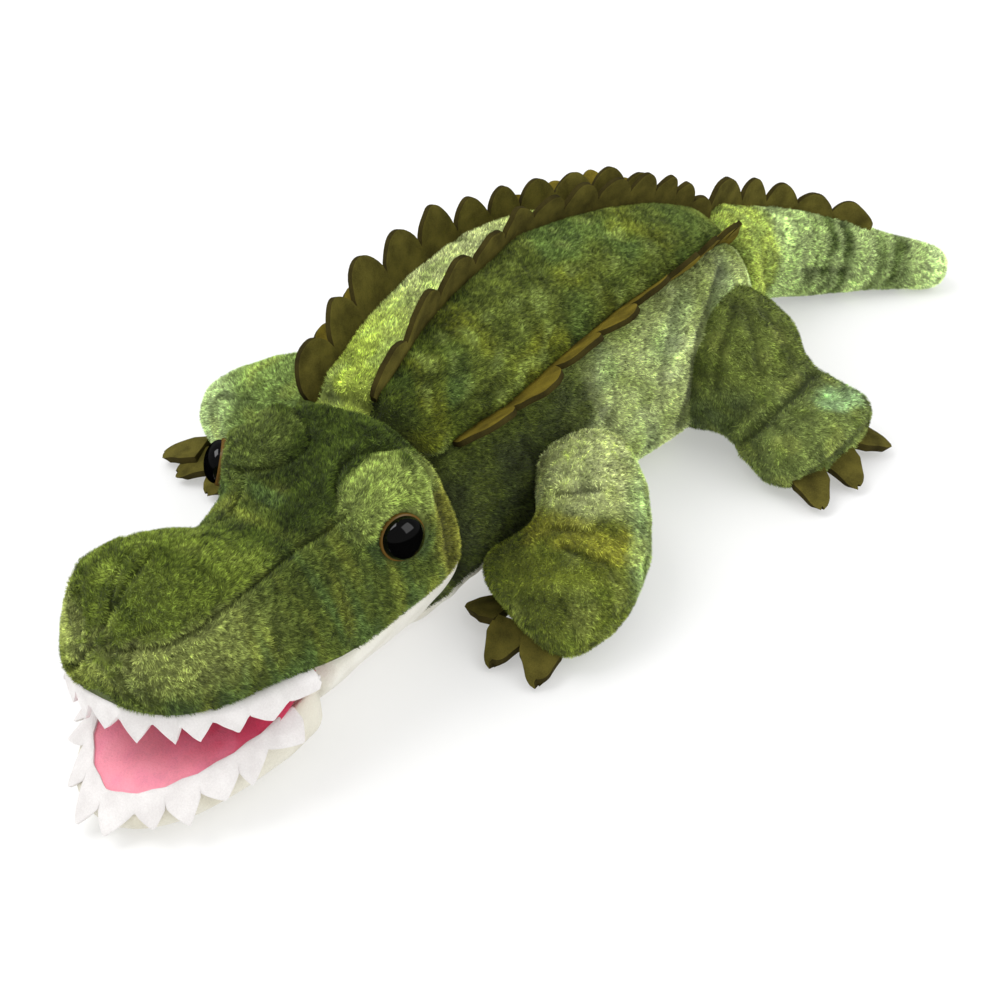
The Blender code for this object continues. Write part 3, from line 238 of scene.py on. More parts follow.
# Tail and legs, whose shares are the half width and the half height
TAIL_PATH = (
    (-0.005, 0.078, 0.0390),
    (-0.010, 0.108, 0.0325),
    (-0.009, 0.136, 0.0255),
    (0.001, 0.161, 0.0185),
    (0.019, 0.182, 0.0128),
    (0.041, 0.202, 0.0092),
)
TAIL_WIDTH = 0.066
TAIL_ENDS = (0.020, 0.014)
TAIL_SHARES = (
    (0.00, 0.45, 0.50),
    (0.20, 0.335, 0.375),
    (0.40, 0.285, 0.315),
    (0.60, 0.265, 0.28),
    (0.80, 0.20, 0.205),
    (1.00, 0.13, 0.14),
)
LEG_THICKNESS = 0.050
LEG_ENDS = (0.012, 0.014)
HIND_LEG_SHARES = (
    (0.0, 0.56, 0.50),
    (0.3, 0.57, 0.49),
    (0.56, 0.47, 0.33),
    (0.8, 0.57, 0.31),
    (1.0, 0.56, 0.24),
)
LEGS = {
    "front_left": (
        (
            (0.045, -0.047, 0.040),
            (0.064, -0.058, 0.034),
            (0.0755, -0.0765, 0.0235),
            (0.0685, -0.1055, 0.013),
        ),
        ((0.0, 0.36, 0.36), (0.3, 0.39, 0.38), (0.58, 0.42, 0.40), (0.8, 0.52, 0.32), (1.0, 0.58, 0.25)),
    ),
    "front_right": (
        (
            (-0.036, -0.076, 0.030),
            (-0.056, -0.078, 0.027),
            (-0.074, -0.089, 0.021),
            (-0.083, -0.111, 0.013),
        ),
        ((0.0, 0.44, 0.38), (0.3, 0.44, 0.38), (0.58, 0.44, 0.37), (0.8, 0.49, 0.34), (1.0, 0.48, 0.25)),
    ),
    "hind_left": (
        ((0.020, 0.054, 0.031), (0.045, 0.052, 0.027), (0.067, 0.052, 0.018), (0.094, 0.052, 0.012)),
        ((0.0, 0.55, 0.60), (0.3, 0.55, 0.52), (0.54, 0.47, 0.33), (0.8, 0.60, 0.32), (1.0, 0.58, 0.25)),
    ),
    "hind_right": (
        ((-0.032, 0.050, 0.027), (-0.055, 0.046, 0.025), (-0.073, 0.036, 0.018), (-0.086, 0.012, 0.012)),
        HIND_LEG_SHARES,
    ),
}
LOOK_SHARE = 0.24
CLAW_LENGTH = 0.0095
CLAW_WIDTH = 0.0145
CLAW_TIP = 0.0028
CLAW_THICKNESS = 0.0030
CLAW_ROOT = 0.0070
CLAW_LEVEL = 0.0076
CLAW_TILT = math.radians(16)
# in millimetres, where each claw leaves its paw, and the way it points
CLAW_PLACES = {
    "front_left": ((57.0, -101.6, -1.1, -0.13), (72.0, -109.8, 0.31, -1.07), (86.4, -108.0, 0.60, -0.80)),
    "front_right": ((-92.4, -115.7, -1.0, -0.5), (-82.0, -116.7, -0.6, -0.85), (-70.5, -115.0, 0.1, -1.0)),
    "hind_left": ((90.3, 72.7, 0.43, 0.41), (95.0, 52.4, 0.68, -0.23), (93.9, 33.5, 0.69, -0.39)),
    "hind_right": ((-76.0, 2.5, -0.05, -1.0), (-92.0, 4.0, -0.5, -0.86), (-99.0, 18.0, -0.9, -0.4)),
}
# a blade of pile: how long and how wide it is in millimetres, and how far it leans in degrees
PILE_MM = 1.6
PILE_WIDE_MM = 0.34
PILE_LEAN = 48
# no pile grows below this height, where the skin lies on the floor
BARE_UNDER = 0.0008

X, _, Z = np.eye(3)
LEFT = np.array((math.cos(HEAD_YAW), math.sin(HEAD_YAW), 0))
BACK = np.array((-math.sin(HEAD_YAW), math.cos(HEAD_YAW), 0))
EPS = 1e-6


def smooth_rows(shares, t):
    """Rows of a table of shares at each t, on a smooth curve through its rows."""
    table = np.array(shares, float)
    at, rows = table[:, 0], table[:, 1:]
    last = len(at) - 1
    i = np.clip(np.searchsorted(at, t, side="right") - 1, 0, last - 1)
    span = at[i + 1] - at[i]
    before = at[i] - at[np.maximum(i - 1, 0)]
    after = at[np.minimum(i + 2, last)] - at[i + 1]
    before, after = np.where(before > 0, before, span), np.where(after > 0, after, span)
    u, span, before, after = (v[:, None] for v in ((t - at[i]) / span, span, before, after))
    slope_in = (rows[i + 1] - rows[np.maximum(i - 1, 0)]) / (span + before) * span
    slope_out = (rows[np.minimum(i + 2, last)] - rows[i]) / (span + after) * span
    smooth = (1 + 2 * u) * (1 - u) ** 2 * rows[i] + u * (1 - u) ** 2 * slope_in
    return smooth + u * u * (3 - 2 * u) * rows[i + 1] + u * u * (u - 1) * slope_out


def keyed(table, t, column=1):
    """Numbers at t, on straight runs between the rows of a table."""
    return np.interp(t, [row[0] for row in table], [row[column] for row in table])


def path_points(path, t):
    count = len(path) - 1
    return smooth_rows([(i / count, *p) for i, p in enumerate(path)], t)


def unit(v):
    return v / np.maximum(np.linalg.norm(v, axis=-1, keepdims=True), EPS)


def signed_power(value, power):
    return np.sign(value) * np.abs(value) ** power


def round_end(distance, length):
    """How full a section is near a form's end that is rounded over a length."""
    if length is None:
        return np.ones_like(distance)
    reach = np.clip(distance / length, 0, 1)
    return (1 - (1 - reach) ** 2.2) ** (1 / 2.2)


def eased(low, high, x):
    """0 below low, 1 above high, and a smooth step between them."""
    u = np.clip((x - low) / (high - low), 0, 1)
    return u * u * (3 - 2 * u)


class Form:
    """A stuffed form. section(t) gives its centre, side and up directions, half width, rise and drop."""

    def __init__(self, section, roundness, ends, length, under=None):
        self.section, self.roundness, self.ends, self.length = section, roundness, ends, length
        self.under = under or roundness

    def skin(self, t, turn):
        t, turn = np.broadcast_arrays(np.asarray(t, float), np.asarray(turn, float))
        shape, t, a = t.shape, t.ravel(), np.radians(turn.ravel())
        centre, side, up, half, rise, drop = self.section(t)
        full = round_end(t * self.length, self.ends[0]) * round_end((1 - t) * self.length, self.ends[1])
        above = np.sin(a) > 0
        power = np.where(above, 2 / self.roundness, 2 / self.under)
        across = signed_power(np.cos(a), power) * half * full
        over = signed_power(np.sin(a), power) * np.where(above, rise, drop) * full
        return (centre + side * across[:, None] + up * over[:, None]).reshape(*shape, 3)

    def normal(self, t, turn):
        t = np.clip(t, 0.004, 0.996)
        along = self.skin(t + 0.002, turn) - self.skin(t - 0.002, turn)
        return unit(np.cross(along, self.skin(t, turn + 1.5) - self.skin(t, turn - 1.5)))


def body_section(t):
    aside, half, top = smooth_rows(BODY_SHARES, t).T
    height = top * BODY_HEIGHT
    middle = height * BODY_WIDEST_SHARE
    centre = np.stack((aside * BODY_WIDTH, BODY_FRONT_Y + t * BODY_LENGTH, middle), 1)
    return centre, X, Z, half * BODY_WIDTH, height - middle, middle + PRESSED


def on_head(back, left, level):
    """Places given in the head's measure: back from the snout's tip, to its left, and above the floor."""
    back, left, level = (np.asarray(v, float)[..., None] for v in (back, left, level))
    return HEAD_TIP + BACK * back + LEFT * left + Z * level


def in_head(points):
    """Places in the head's measure: back, left and level."""
    away = points - HEAD_TIP
    return away @ BACK, away @ LEFT, away[..., 2]


def head_section(t):
    aside, half, top, widest = smooth_rows(HEAD_SHARES, t).T
    height = top * HEAD_TOP
    middle = height * widest
    centre = on_head(t * HEAD_LENGTH, aside * HEAD_WIDTH, middle)
    return centre, LEFT, Z, half * HEAD_WIDTH, height - middle, middle - LIP_LEVEL + LIP_TUCK


def throat_section(t):
    half = smooth_rows(THROAT_SHARES, t)[:, 1]
    level = LIP_LEVEL - LIP_TUCK / 2
    centre = on_head(THROAT_START + t * THROAT_LENGTH, 0 * t, 0 * t + level)
    return centre, LEFT, Z, half * THROAT_WIDTH, 0 * t + LIP_TUCK, 0 * t + level + PRESSED


def rim_level(back):
    """The height of the lower jaw's rim, which slopes down from the mouth's corner to the front."""
    share = (back + 0.010) / 0.059
    return JAW_FRONT_TOP + (JAW_REAR_TOP - JAW_FRONT_TOP) * share


def jaw_section(t):
    across = (1 - (1 - t) ** JAW["roundness"]) ** (1 / JAW["roundness"])
    back = JAW["corner"] - JAW["depth"] * (1 - t)
    middle = rim_level(back) * JAW_WIDEST_SHARE
    centre = on_head(back, -JAW["lean"] * (1 - t), middle)
    drop = (middle + PRESSED) * np.maximum(across, 0.004) ** 0.5
    return centre, LEFT, Z, across * JAW["width"] / 2, rim_level(back) * across**0.5, drop


def along_path(path, shares, size):
    def section(t):
        centre = path_points(path, t)
        ahead, behind = np.minimum(1, t + LOOK_SHARE), np.maximum(0, t - LOOK_SHARE)
        look = path_points(path, ahead) - path_points(path, behind)
        side = unit(np.cross(unit(look), Z))
        up = unit(np.cross(side, unit(look)))
        half, high = smooth_rows(shares, t).T * size
        return centre, side, up, half, high, high

    return section


def path_length(path):
    return float(np.linalg.norm(np.diff(path_points(path, np.linspace(0, 1, 41)), axis=0), axis=1).sum())


BODY = Form(body_section, 2.3, BODY_ENDS, BODY_LENGTH, under=3.2)
HEAD = Form(head_section, 1.9, HEAD_ENDS, HEAD_LENGTH)
THROAT = Form(throat_section, 1.9, THROAT_ENDS, THROAT_LENGTH, under=1.45)
LOWER_JAW = Form(jaw_section, 1.9, (None, JAW_REAR_ROUND), JAW["depth"], under=1.7)
TAIL = Form(along_path(TAIL_PATH, TAIL_SHARES, TAIL_WIDTH), 2.1, TAIL_ENDS, path_length(TAIL_PATH))


def leg_form(path, shares):
    return Form(along_path(path, shares, LEG_THICKNESS), 2.2, LEG_ENDS, path_length(path), under=3.0)


# Materials

MOTTLE_MM = 9
FELT_MOTTLE_MM = 7
# where a Mix node of colours has its two colours and its result
COLOUR_SOCKETS = (6, 7)
COLOUR_OUTPUT = 2


def linear(colour):
    """An sRGB hex colour as linear numbers."""
    values = [int(colour[i : i + 2], 16) / 255 for i in (1, 3, 5)]
    return np.array([v / 12.92 if v <= 0.04045 else ((v + 0.055) / 1.055) ** 2.4 for v in values])


def add(tree, kind, links=(), **settings):
    """Adds a node, sets its properties and sockets by name, and links sockets into it."""
    node = tree.nodes.new(kind)
    for name, value in settings.items():
        socket = name.replace("_", " ")
        if socket in node.inputs:
            node.inputs[socket].default_value = value
        else:
            setattr(node, name, value)
    for name, source in dict(links).items():
        tree.links.new(source, node.inputs[name])
    return node


def new_material(name, roughness, **sockets):
    made = bpy.data.materials.new(name)
    made.use_nodes = True
    shader = made.node_tree.nodes["Principled BSDF"]
    shader.inputs["Roughness"].default_value = roughness
    for socket, value in sockets.items():
        shader.inputs[socket.replace("_", " ")].default_value = value
    return made, made.node_tree, shader


def plush(name, sheen, clump_mm, contrast, dark, tip):
    """Acrylic plush with a brushed, dyed pile. The dye, with painted shade and highlights in it, comes from
    the skin, mottle and clumps from noise.
    Tips catch the light, so a blade of pile is lighter at its end than at its root."""
    soft = {"Specular_IOR_Level": 0.12, "Sheen_Weight": sheen, "Sheen_Roughness": 0.55}
    made, tree, shader = new_material(name, 0.92, **soft)
    place = {"Vector": add(tree, "ShaderNodeTexCoord").outputs["Object"]}
    dye_and_shading = add(tree, "ShaderNodeAttribute", attribute_name="dye_and_shading").outputs["Color"]
    rise = add(tree, "ShaderNodeAttribute", attribute_name="rise").outputs["Fac"]
    strand = add(tree, "ShaderNodeAttribute", attribute_name="strand").outputs["Fac"]
    clump = add(tree, "ShaderNodeTexNoise", place, Scale=1 / (clump_mm * MM), Detail=4.0, Roughness=0.7)
    clump = clump.outputs["Fac"]
    mottle = add(tree, "ShaderNodeTexNoise", place, Scale=1 / (MOTTLE_MM * MM), Detail=3.0, Roughness=0.6)
    both = add(tree, "ShaderNodeMath", {0: clump, 1: mottle.outputs["Fac"]}, operation="ADD")
    shown = {"From_Min": 0.72, "From_Max": 1.28, "To_Min": 1 - contrast, "To_Max": 1 + contrast}
    shade = add(tree, "ShaderNodeMapRange", {"Value": both.outputs[0]}, **shown)
    lift = add(tree, "ShaderNodeMapRange", {"Value": rise}, To_Min=dark, To_Max=tip)
    grown = add(tree, "ShaderNodeMath", {0: shade.outputs[0], 1: lift.outputs[0]}, operation="MULTIPLY")
    grown = add(tree, "ShaderNodeMath", {0: grown.outputs[0], 1: strand}, operation="MULTIPLY")
    lit = add(tree, "ShaderNodeVectorMath", {0: dye_and_shading, "Scale": grown.outputs[0]}, operation="SCALE")
    bump = add(tree, "ShaderNodeBump", {"Height": clump}, Strength=0.5, Distance=0.8 * MM)
    tree.links.new(lit.outputs[0], shader.inputs["Base Color"])
    tree.links.new(bump.outputs[0], shader.inputs["Normal"])
    return made


def felt(name, light, dark, grain_mm):
    """Pressed felt: matted fibres without a weave, mottled in two tones, with a soft rough face."""
    made, tree, shader = new_material(name, 0.95, Specular_IOR_Level=0.06)
    place = {"Vector": add(tree, "ShaderNodeTexCoord").outputs["Object"]}
    grain = add(tree, "ShaderNodeTexNoise", place, Scale=1 / (grain_mm * MM), Detail=5.0, Roughness=0.75)
    grain = grain.outputs["Fac"]
    broad = add(tree, "ShaderNodeTexNoise", place, Scale=1 / (FELT_MOTTLE_MM * MM), Detail=2, Roughness=0.5)
    both = add(tree, "ShaderNodeMath", {0: grain, 1: broad.outputs["Fac"]}, operation="ADD")
    ramp = add(tree, "ShaderNodeMapRange", {"Value": both.outputs[0]}, From_Min=0.75, From_Max=1.25)
    mix = add(tree, "ShaderNodeMix", {"Factor": ramp.outputs[0]}, data_type="RGBA")
    mix.inputs[COLOUR_SOCKETS[0]].default_value = (*linear(dark), 1)
    mix.inputs[COLOUR_SOCKETS[1]].default_value = (*linear(light), 1)
    bump = add(tree, "ShaderNodeBump", {"Height": grain}, Strength=0.6, Distance=0.3 * MM)
    tree.links.new(mix.outputs[COLOUR_OUTPUT], shader.inputs["Base Color"])
    tree.links.new(bump.outputs[0], shader.inputs["Normal"])
    return made


def glossy(name, colour, roughness):
    """Moulded plastic: polished acrylic, as on a safety eye, or a smooth washer."""
    made, _, shader = new_material(name, roughness)
    shader.inputs["Base Color"].default_value = (*linear(colour), 1)
    return made


GREEN_PLUSH = plush("green_plush", 0.1, 1.1, 0.45, 0.5, 0.75)
GREEN_PILE = plush("green_pile", 0.1, 1.3, 0.55, 0.58, 1.55)
CREAM_PLUSH = plush("cream_velboa", 0.3, 0.7, 0.05, 1.0, 1.0)
PINK_PLUSH = plush("pink_velboa", 0.3, 0.8, 0.10, 1.0, 1.0)
OLIVE_FELT = felt("olive_felt", "#67602a", "#423d1a", 0.45)
# the same olive felt painted lighter, as a painted highlight, for the flank scales that face up into the
# light
OLIVE_FELT_PAINTED_LIT = felt("olive_felt_painted_lit", "#857628", "#544a1b", 0.5)
# the same olive felt painted darker for its cut edges: painted shade on the edges
FELT_EDGE_PAINTED_SHADE = felt("felt_edge_painted_shade", "#433c1a", "#2c2711", 0.4)
WHITE_FELT = felt("white_felt", "#efecea", "#dedad8", 0.6)
EYE_BLACK = glossy("black_acrylic", "#050505", 0.03)
EYE_AMBER = glossy("amber_acrylic", "#6e5222", 0.2)
CLEAR_PLASTIC = glossy("clear_polypropylene", "#d8d8d2", 0.4)


# Meshes


def mesh_object(name, points, faces, material, smooth=True):
    data = bpy.data.meshes.new(name)
    places = np.asarray(points).reshape(-1, 3) + TOY_SHIFT
    data.from_pydata(places.tolist(), [], faces if isinstance(faces, list) else faces.tolist())
    data.update()
    made = bpy.data.objects.new(name, data)
    bpy.context.scene.collection.objects.link(made)
    data.materials.append(material)
    if smooth:
        data.shade_smooth()
    return made


def give(piece, name, values):
    """Stores a number or a linear colour for each point of a mesh."""
    values = np.asarray(values, np.float32)
    if values.ndim > 1:
        layer = piece.data.attributes.new(name, "FLOAT_COLOR", "POINT")
        layer.data.foreach_set("color", np.c_[values, np.ones(len(values), np.float32)].ravel())
    else:
        layer = piece.data.attributes.new(name, "FLOAT", "POINT")
        layer.data.foreach_set("value", values)


def give_dye_and_shading(piece, dye_and_shading, furry=None):
    """Gives a cloth its dye with any painted shade and highlights in it, and how thickly its pile grows. Its
    own rise and strand are plain.
    """
    give(piece, "dye_and_shading", dye_and_shading)
    give(piece, "rise", np.ones(len(dye_and_shading)))
    give(piece, "strand", np.ones(len(dye_and_shading)))
    if furry is not None:
        give(piece, "furry", furry)


def grid_faces(rows, columns, closed):
    """Quads over a grid of points, whose columns close into rings if closed."""
    k = np.arange(rows * columns).reshape(rows, columns)
    if closed:
        k = np.c_[k, k[:, 0]]
    return np.stack((k[:-1, :-1], k[1:, :-1], k[1:, 1:], k[:-1, 1:]), -1).reshape(-1, 4)


def grid_normals(points):
    """Outward normals of rings of points that run along a form and round it."""
    along = np.gradient(points, axis=0)
    ring = np.roll(points, -1, 1) - np.roll(points, 1, 1)
    return unit(np.cross(along, ring))


def noise_at(points, size_mm, seed):
    """Smooth noise from -1 to 1 with features of about a size. Each seed has its own place in the noise."""
    flat = points.reshape(-1, 3) / (size_mm * MM) + seed * 17.3
    return np.array([noise.noise(p) for p in flat]).reshape(points.shape[:-1])


def pixels_of(points):
    """Where places fall in the photograph, in its pixels."""
    sa, ca, se, ce = (f(a) for a in (CAMERA_AZIMUTH, CAMERA_ELEVATION) for f in (math.sin, math.cos))
    toward = np.array((sa * ce, -ca * ce, se))
    right = np.array((ca, sa, 0))
    up = np.array((-sa * se, ca * se, ce))
    away = points - CAMERA_PLACE
    depth = -(away @ toward)
    centre = PHOTO_PIXELS / 2
    return centre + CAMERA_PIXELS * (away @ right) / depth, centre - CAMERA_PIXELS * (away @ up) / depth


def line_distance(points, line):
    """How far, in millimetres, places lie from a line that is drawn in the photograph's pixels."""
    x, y = pixels_of(points)
    best = np.full(x.shape, np.inf)
    for (ax, ay), (bx, by) in zip(line, line[1:]):
        dx, dy = bx - ax, by - ay
        u = np.clip(((x - ax) * dx + (y - ay) * dy) / (dx * dx + dy * dy), 0, 1)
        best = np.minimum(best, np.hypot(x - ax - u * dx, y - ay - u * dy))
    return best / PIXELS_A_MM


def facing(points, normals):
    """1 where a skin faces the photograph's camera, 0 where it is turned away."""
    return eased(0.0, 0.25, (unit(CAMERA_PLACE - points) * normals).sum(-1))


def creased(points, creases, mirror=None):
    """Presses creases into a skin, and says how deep in a crease each point lies, from 0 to 1.
    Each crease is a depth and a width in millimetres and a line in the photograph's pixels. mirror turns the
    far side of a form into the side that was seen, so that both get the same creases."""
    normals = grid_normals(points)
    views = [(points, normals)]
    if mirror:
        views.append((mirror(points), mirror(points + normals) - mirror(points)))
    move = np.zeros(points.shape[:-1])
    shade = np.zeros(points.shape[:-1])
    for place, way in views:
        seen = facing(place, way)
        for depth, width, line in creases:
            far = line_distance(place, line) / width
            move += seen * depth * MM * (0.35 * np.exp(-((far - 1.7) ** 2)) - np.exp(-(far**2)))
            shade = np.maximum(shade, seen * min(1, depth / 1.6) * np.exp(-((far * 1.3) ** 2)))
    return points + normals * move[..., None], shade


def lumpy(points, *scales):
    """Loose filling under the skin: noise of each size and amount, in millimetres."""
    normals = grid_normals(points)
    for size, amount, seed in scales:
        points = points + normals * (noise_at(points, size, seed) * amount * MM)[..., None]
    return points


def drawn_in(points, depth_mm):
    return points - grid_normals(points) * depth_mm * MM


def laid(points, level=0.0):
    """The skin pressed flat where it lies on the floor."""
    points = points.copy()
    points[..., 2] = np.maximum(points[..., 2], level)
    return points


def ring_grid(steps, sides, margin=0.004):
    even = np.linspace(0, 1, steps + 1)
    t = margin + (1 - 2 * margin) * (0.45 * even + 0.55 * (0.5 - 0.5 * np.cos(np.pi * even)))
    return np.meshgrid(t, np.arange(sides) * 360 / sides, indexing="ij")


def skin_object(name, points, material, dye_and_shading, furry=None):
    """A closed skin of rings of points, with its dye and painted shading, and where its pile grows."""
    rows, columns = points.shape[:2]
    ends = np.stack((points[0].mean(0), points[-1].mean(0)))
    faces = grid_faces(rows, columns, True).tolist()
    k = np.arange(columns)
    n = np.roll(k, -1)
    last = (rows - 1) * columns
    first_pole, last_pole = rows * columns, rows * columns + 1
    faces += np.stack((np.full(columns, first_pole), k, n), 1).tolist()
    faces += np.stack((np.full(columns, last_pole), last + n, last + k), 1).tolist()
    made = mesh_object(name, np.r_[points.reshape(-1, 3), ends], faces, material)
    dye_and_shading = dye_and_shading.reshape(-1, 3)
    if furry is not None:
        furry = np.r_[furry.ravel(), furry[0, 0], furry[-1, -1]]
    give_dye_and_shading(made, np.r_[dye_and_shading, dye_and_shading[:1], dye_and_shading[-1:]], furry)
    return made


def mixed(colour, other, share):
    return colour + (linear(other) - colour) * np.asarray(share)[..., None]


def dyed_and_shaded(points, base, *coats):
    """A base colour at each point, under coats of other colours, some of dye and some of painted shade and
    highlights. Each has its colour and how much shows.
    """
    dye_and_shading = np.tile(linear(base), (*points.shape[:2], 1))
    for colour, share in coats:
        dye_and_shading = mixed(dye_and_shading, colour, share)
    return dye_and_shading


def streaky(points, size_mm, seed, low=-0.1, high=0.35):
    return eased(low, high, noise_at(points, size_mm, seed))


# Placing pieces


def keep(piece, body, slot, *replaced, fill=None, bend=None):
    """Fixes a piece to its body, or, given a bend, bakes its place into its mesh, and hides the parts it
    stands for.
    """
    if bend:
        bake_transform(piece)
    else:
        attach(piece, body)
    if replaced:
        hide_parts(*replaced)
    return piece


def ring_distance(points, turns, seam):
    """Signed distance in millimetres, round each ring of a skin, from a seam that has one turn a ring."""
    around = np.linalg.norm(np.roll(points, -1, 1) - points, axis=-1)
    run = np.cumsum(np.c_[np.zeros(len(points)), around], axis=1)
    total = run[:, -1]
    degrees = np.r_[turns[0], 360.0]
    at = np.array([np.interp(s % 360, degrees, r) for s, r in zip(seam, run)])
    gap = run[:, :-1] - at[:, None]
    half = total[:, None] / 2
    return ((gap + half) % (2 * half) - half) / MM


def read(rows, key, width, kind=float):
    """Numbers of a mesh's points or triangles, as one row each."""
    values = np.empty(len(rows) * width, kind)
    rows.foreach_get(key, values)
    return values.reshape(-1, width)


def pile(skin, name, count, seed, nap):
    """Short brushed pile on a skin: thin triangles that lean along the nap, in tufts. Each takes the dye and
    the painted shading of the skin at its root."""
    rng = np.random.default_rng(seed)
    data = skin.data
    data.calc_loop_triangles()
    corners = read(data.loop_triangles, "vertices", 3, np.int32)
    place = read(data.vertices, "co", 3)
    normal = read(data.vertices, "normal", 3)
    dye_and_shading = read(data.attributes["dye_and_shading"].data, "color", 4, np.float32)[:, :3]
    a, b, c = (place[corners[:, k]] for k in range(3))
    weight = np.linalg.norm(np.cross(b - a, c - a), axis=1)
    weight *= a[:, 2] > BARE_UNDER
    weight *= read(data.attributes["furry"].data, "value", 1, np.float32)[:, 0][corners].min(1)
    pick = rng.choice(len(corners), count, p=weight / weight.sum())
    share = rng.random((count, 2))
    share = np.where(share.sum(1, keepdims=True) > 1, 1 - share, share)
    share = np.c_[1 - share.sum(1), share][..., None]
    root = (place[corners[pick]] * share).sum(1)
    out = unit((normal[corners[pick]] * share).sum(1))
    colour = (dye_and_shading[corners[pick]] * share).sum(1)
    tuft = [noise_at(root, 6, seed + k) + noise_at(root, 2.2, seed + 5 + k) for k in range(3)]
    tuft = np.stack(tuft, 1)
    along = np.array(nap) + 1.0 * tuft + rng.normal(0, 0.35, (count, 3))
    along = unit(along - out * (along * out).sum(1, keepdims=True))
    tilt = np.radians(PILE_LEAN) * rng.uniform(0.75, 1.2, (count, 1))
    long = PILE_MM * MM * rng.uniform(0.65, 1.15, (count, 1))
    way = out * np.cos(tilt) + along * np.sin(tilt)
    across = unit(np.cross(way, out) + rng.normal(0, 0.3, (count, 3))) * (PILE_WIDE_MM * MM / 2)
    tip = root + way * long
    points = np.stack((root - across - out * 0.2 * MM, root + across - out * 0.2 * MM, tip), 1)
    points[..., 2] = np.maximum(points[..., 2], 0.1 * MM)
    blades = np.arange(3 * count).reshape(-1, 3)
    made = mesh_object(name, points - TOY_SHIFT, blades, GREEN_PILE, smooth=False)
    light = np.exp(1.25 * noise_at(root, 1.2, seed + 9) + rng.normal(0, 0.42, count)).clip(0.25, 2.4)
    give(made, "dye_and_shading", np.repeat(colour, 3, 0))
    give(made, "rise", np.tile((0.0, 0.0, 1.0), count))
    give(made, "strand", np.repeat(light, 3))
    cells = math.ceil(math.sqrt(count))
    k = np.arange(count)
    corner = np.stack((k % cells, k // cells), 1)[:, None] + np.array(((0.1, 0.1), (0.9, 0.1), (0.5, 0.9)))
    layer = made.data.uv_layers.new(name="OFBake")
    layer.data.foreach_set("uv", (corner / cells).astype(np.float32).ravel())
    return made


def furred(skin, name, body, slot, count, seed, bend=None, nap=(0.0, 1.0, -0.25)):
    """Grows pile on a skin and keeps it there."""
    keep(pile(skin, name + "_pile", count, seed, nap), body, slot, bend=bend)


def thickened(piece, thickness, edge_mm, segments, rim=0):
    """Makes a sheet into felt of a thickness, with a softened cut edge."""
    shell = piece.modifiers.new("Thickness", "SOLIDIFY")
    shell.thickness, shell.offset, shell.material_offset_rim = thickness, 0, rim
    edge = piece.modifiers.new("Cut edge", "BEVEL")
    edge.width, edge.segments = edge_mm * MM, segments
    edge.limit_method, edge.angle_limit = "ANGLE", math.radians(60)
    bpy.context.view_layer.update()
    mesh = bpy.data.meshes.new_from_object(piece.evaluated_get(bpy.context.evaluated_depsgraph_get()))
    piece.modifiers.clear()
    piece.data = mesh
    mesh.shade_smooth()
    return piece


def felt_strip(name, base, rise, grow, notches, seat, peak, material, parts=16, seed=1):
    """A felt strip cut into rounded scales between notches. It rises from its seam and grows along grow."""
    count = len(notches) - 1
    k = np.linspace(0, count, count * parts + 1)
    at = np.interp(k, np.arange(count + 1), notches)
    rng = np.random.default_rng(seed)
    near = np.minimum(1, np.minimum(k, count - k) / 1.6)
    tongue = np.abs(np.sin(np.pi * k)) ** 0.72
    each = np.repeat(rng.uniform(0.92, 1.06, count), parts)
    each = np.r_[each, each[-1]]
    notch = SCALE_NOTCH_SHARE * rng.uniform(0.7, 1.5, count + 1)
    notch = np.interp(k, np.arange(count + 1), notch)
    high = peak(at) * (0.72 + 0.28 * near) * (notch + (each - notch) * tongue)
    foot, up, out = base(at), rise(at), grow(at)
    sway = unit(np.cross(np.gradient(foot, axis=0), out))
    run = unit(np.gradient(foot, axis=0))
    rows = [foot - up * 0.5 * MM]
    collar = foot + up * seat
    levels = 8
    bend = np.interp(k, np.arange(count) + 0.5, rng.normal(0, 0.7, count))[:, None] * MM
    lean = np.interp(k, np.arange(count) + 0.5, rng.normal(0, 0.05, count))[:, None]
    for level in range(levels + 1):
        share = level / levels
        wave = noise_at(collar + out * high[:, None] * share, 7, seed)[:, None] * 0.6 * MM
        aside = sway * (bend * share**1.5 + wave * share)
        rows.append(collar + (out + run * lean) * (high * share)[:, None] + aside)
    points = np.stack(rows)
    piece = mesh_object(name, points, grid_faces(len(rows), len(k), False), material)
    # the strip's cut edges get the felt painted darker, as painted shade
    piece.data.materials.append(FELT_EDGE_PAINTED_SHADE)
    return thickened(piece, FELT, 0.3, 2, rim=1)


def between(middles):
    """Notches midway between the middles of scales, and half a scale beyond the ends."""
    middles = np.array(middles)
    inner = (middles[1:] + middles[:-1]) / 2
    return np.r_[2 * middles[0] - inner[0], inner, 2 * middles[-1] - inner[-1]]


# Body, whose creases are depths and widths in millimetres and lines in the photograph's pixels


def band_half(t):
    """How many degrees the light band down the back spans on each side of the spine."""
    half = body_section(t)[3] * round_end(t * BODY_LENGTH, BODY_ENDS[0])
    half = half * round_end((1 - t) * BODY_LENGTH, BODY_ENDS[1])
    share = np.minimum(BAND_MOST_SHARE, BAND_WIDTH * keyed(BAND_SHARES, t) / 2 / np.maximum(half, EPS))
    return 90 - np.degrees(np.arccos(share ** (BODY.roundness / 2)))


def spine_turn(t, sign):
    return 90 + keyed(ROLL_SHARES, t) - sign * band_half(t)


def flank_turn(t, sign):
    return keyed(FLANK_TURN_SHARES, t) if sign > 0 else 180 - keyed(FLANK_TURN_SHARES, t, 2)


def mirrored(points):
    return points * (-1, 1, 1)


SIDES = ((1, "left"), (-1, "right"))
TOP_SEAMS = ("flank_left", "flank_right", "spine_left", "spine_right")
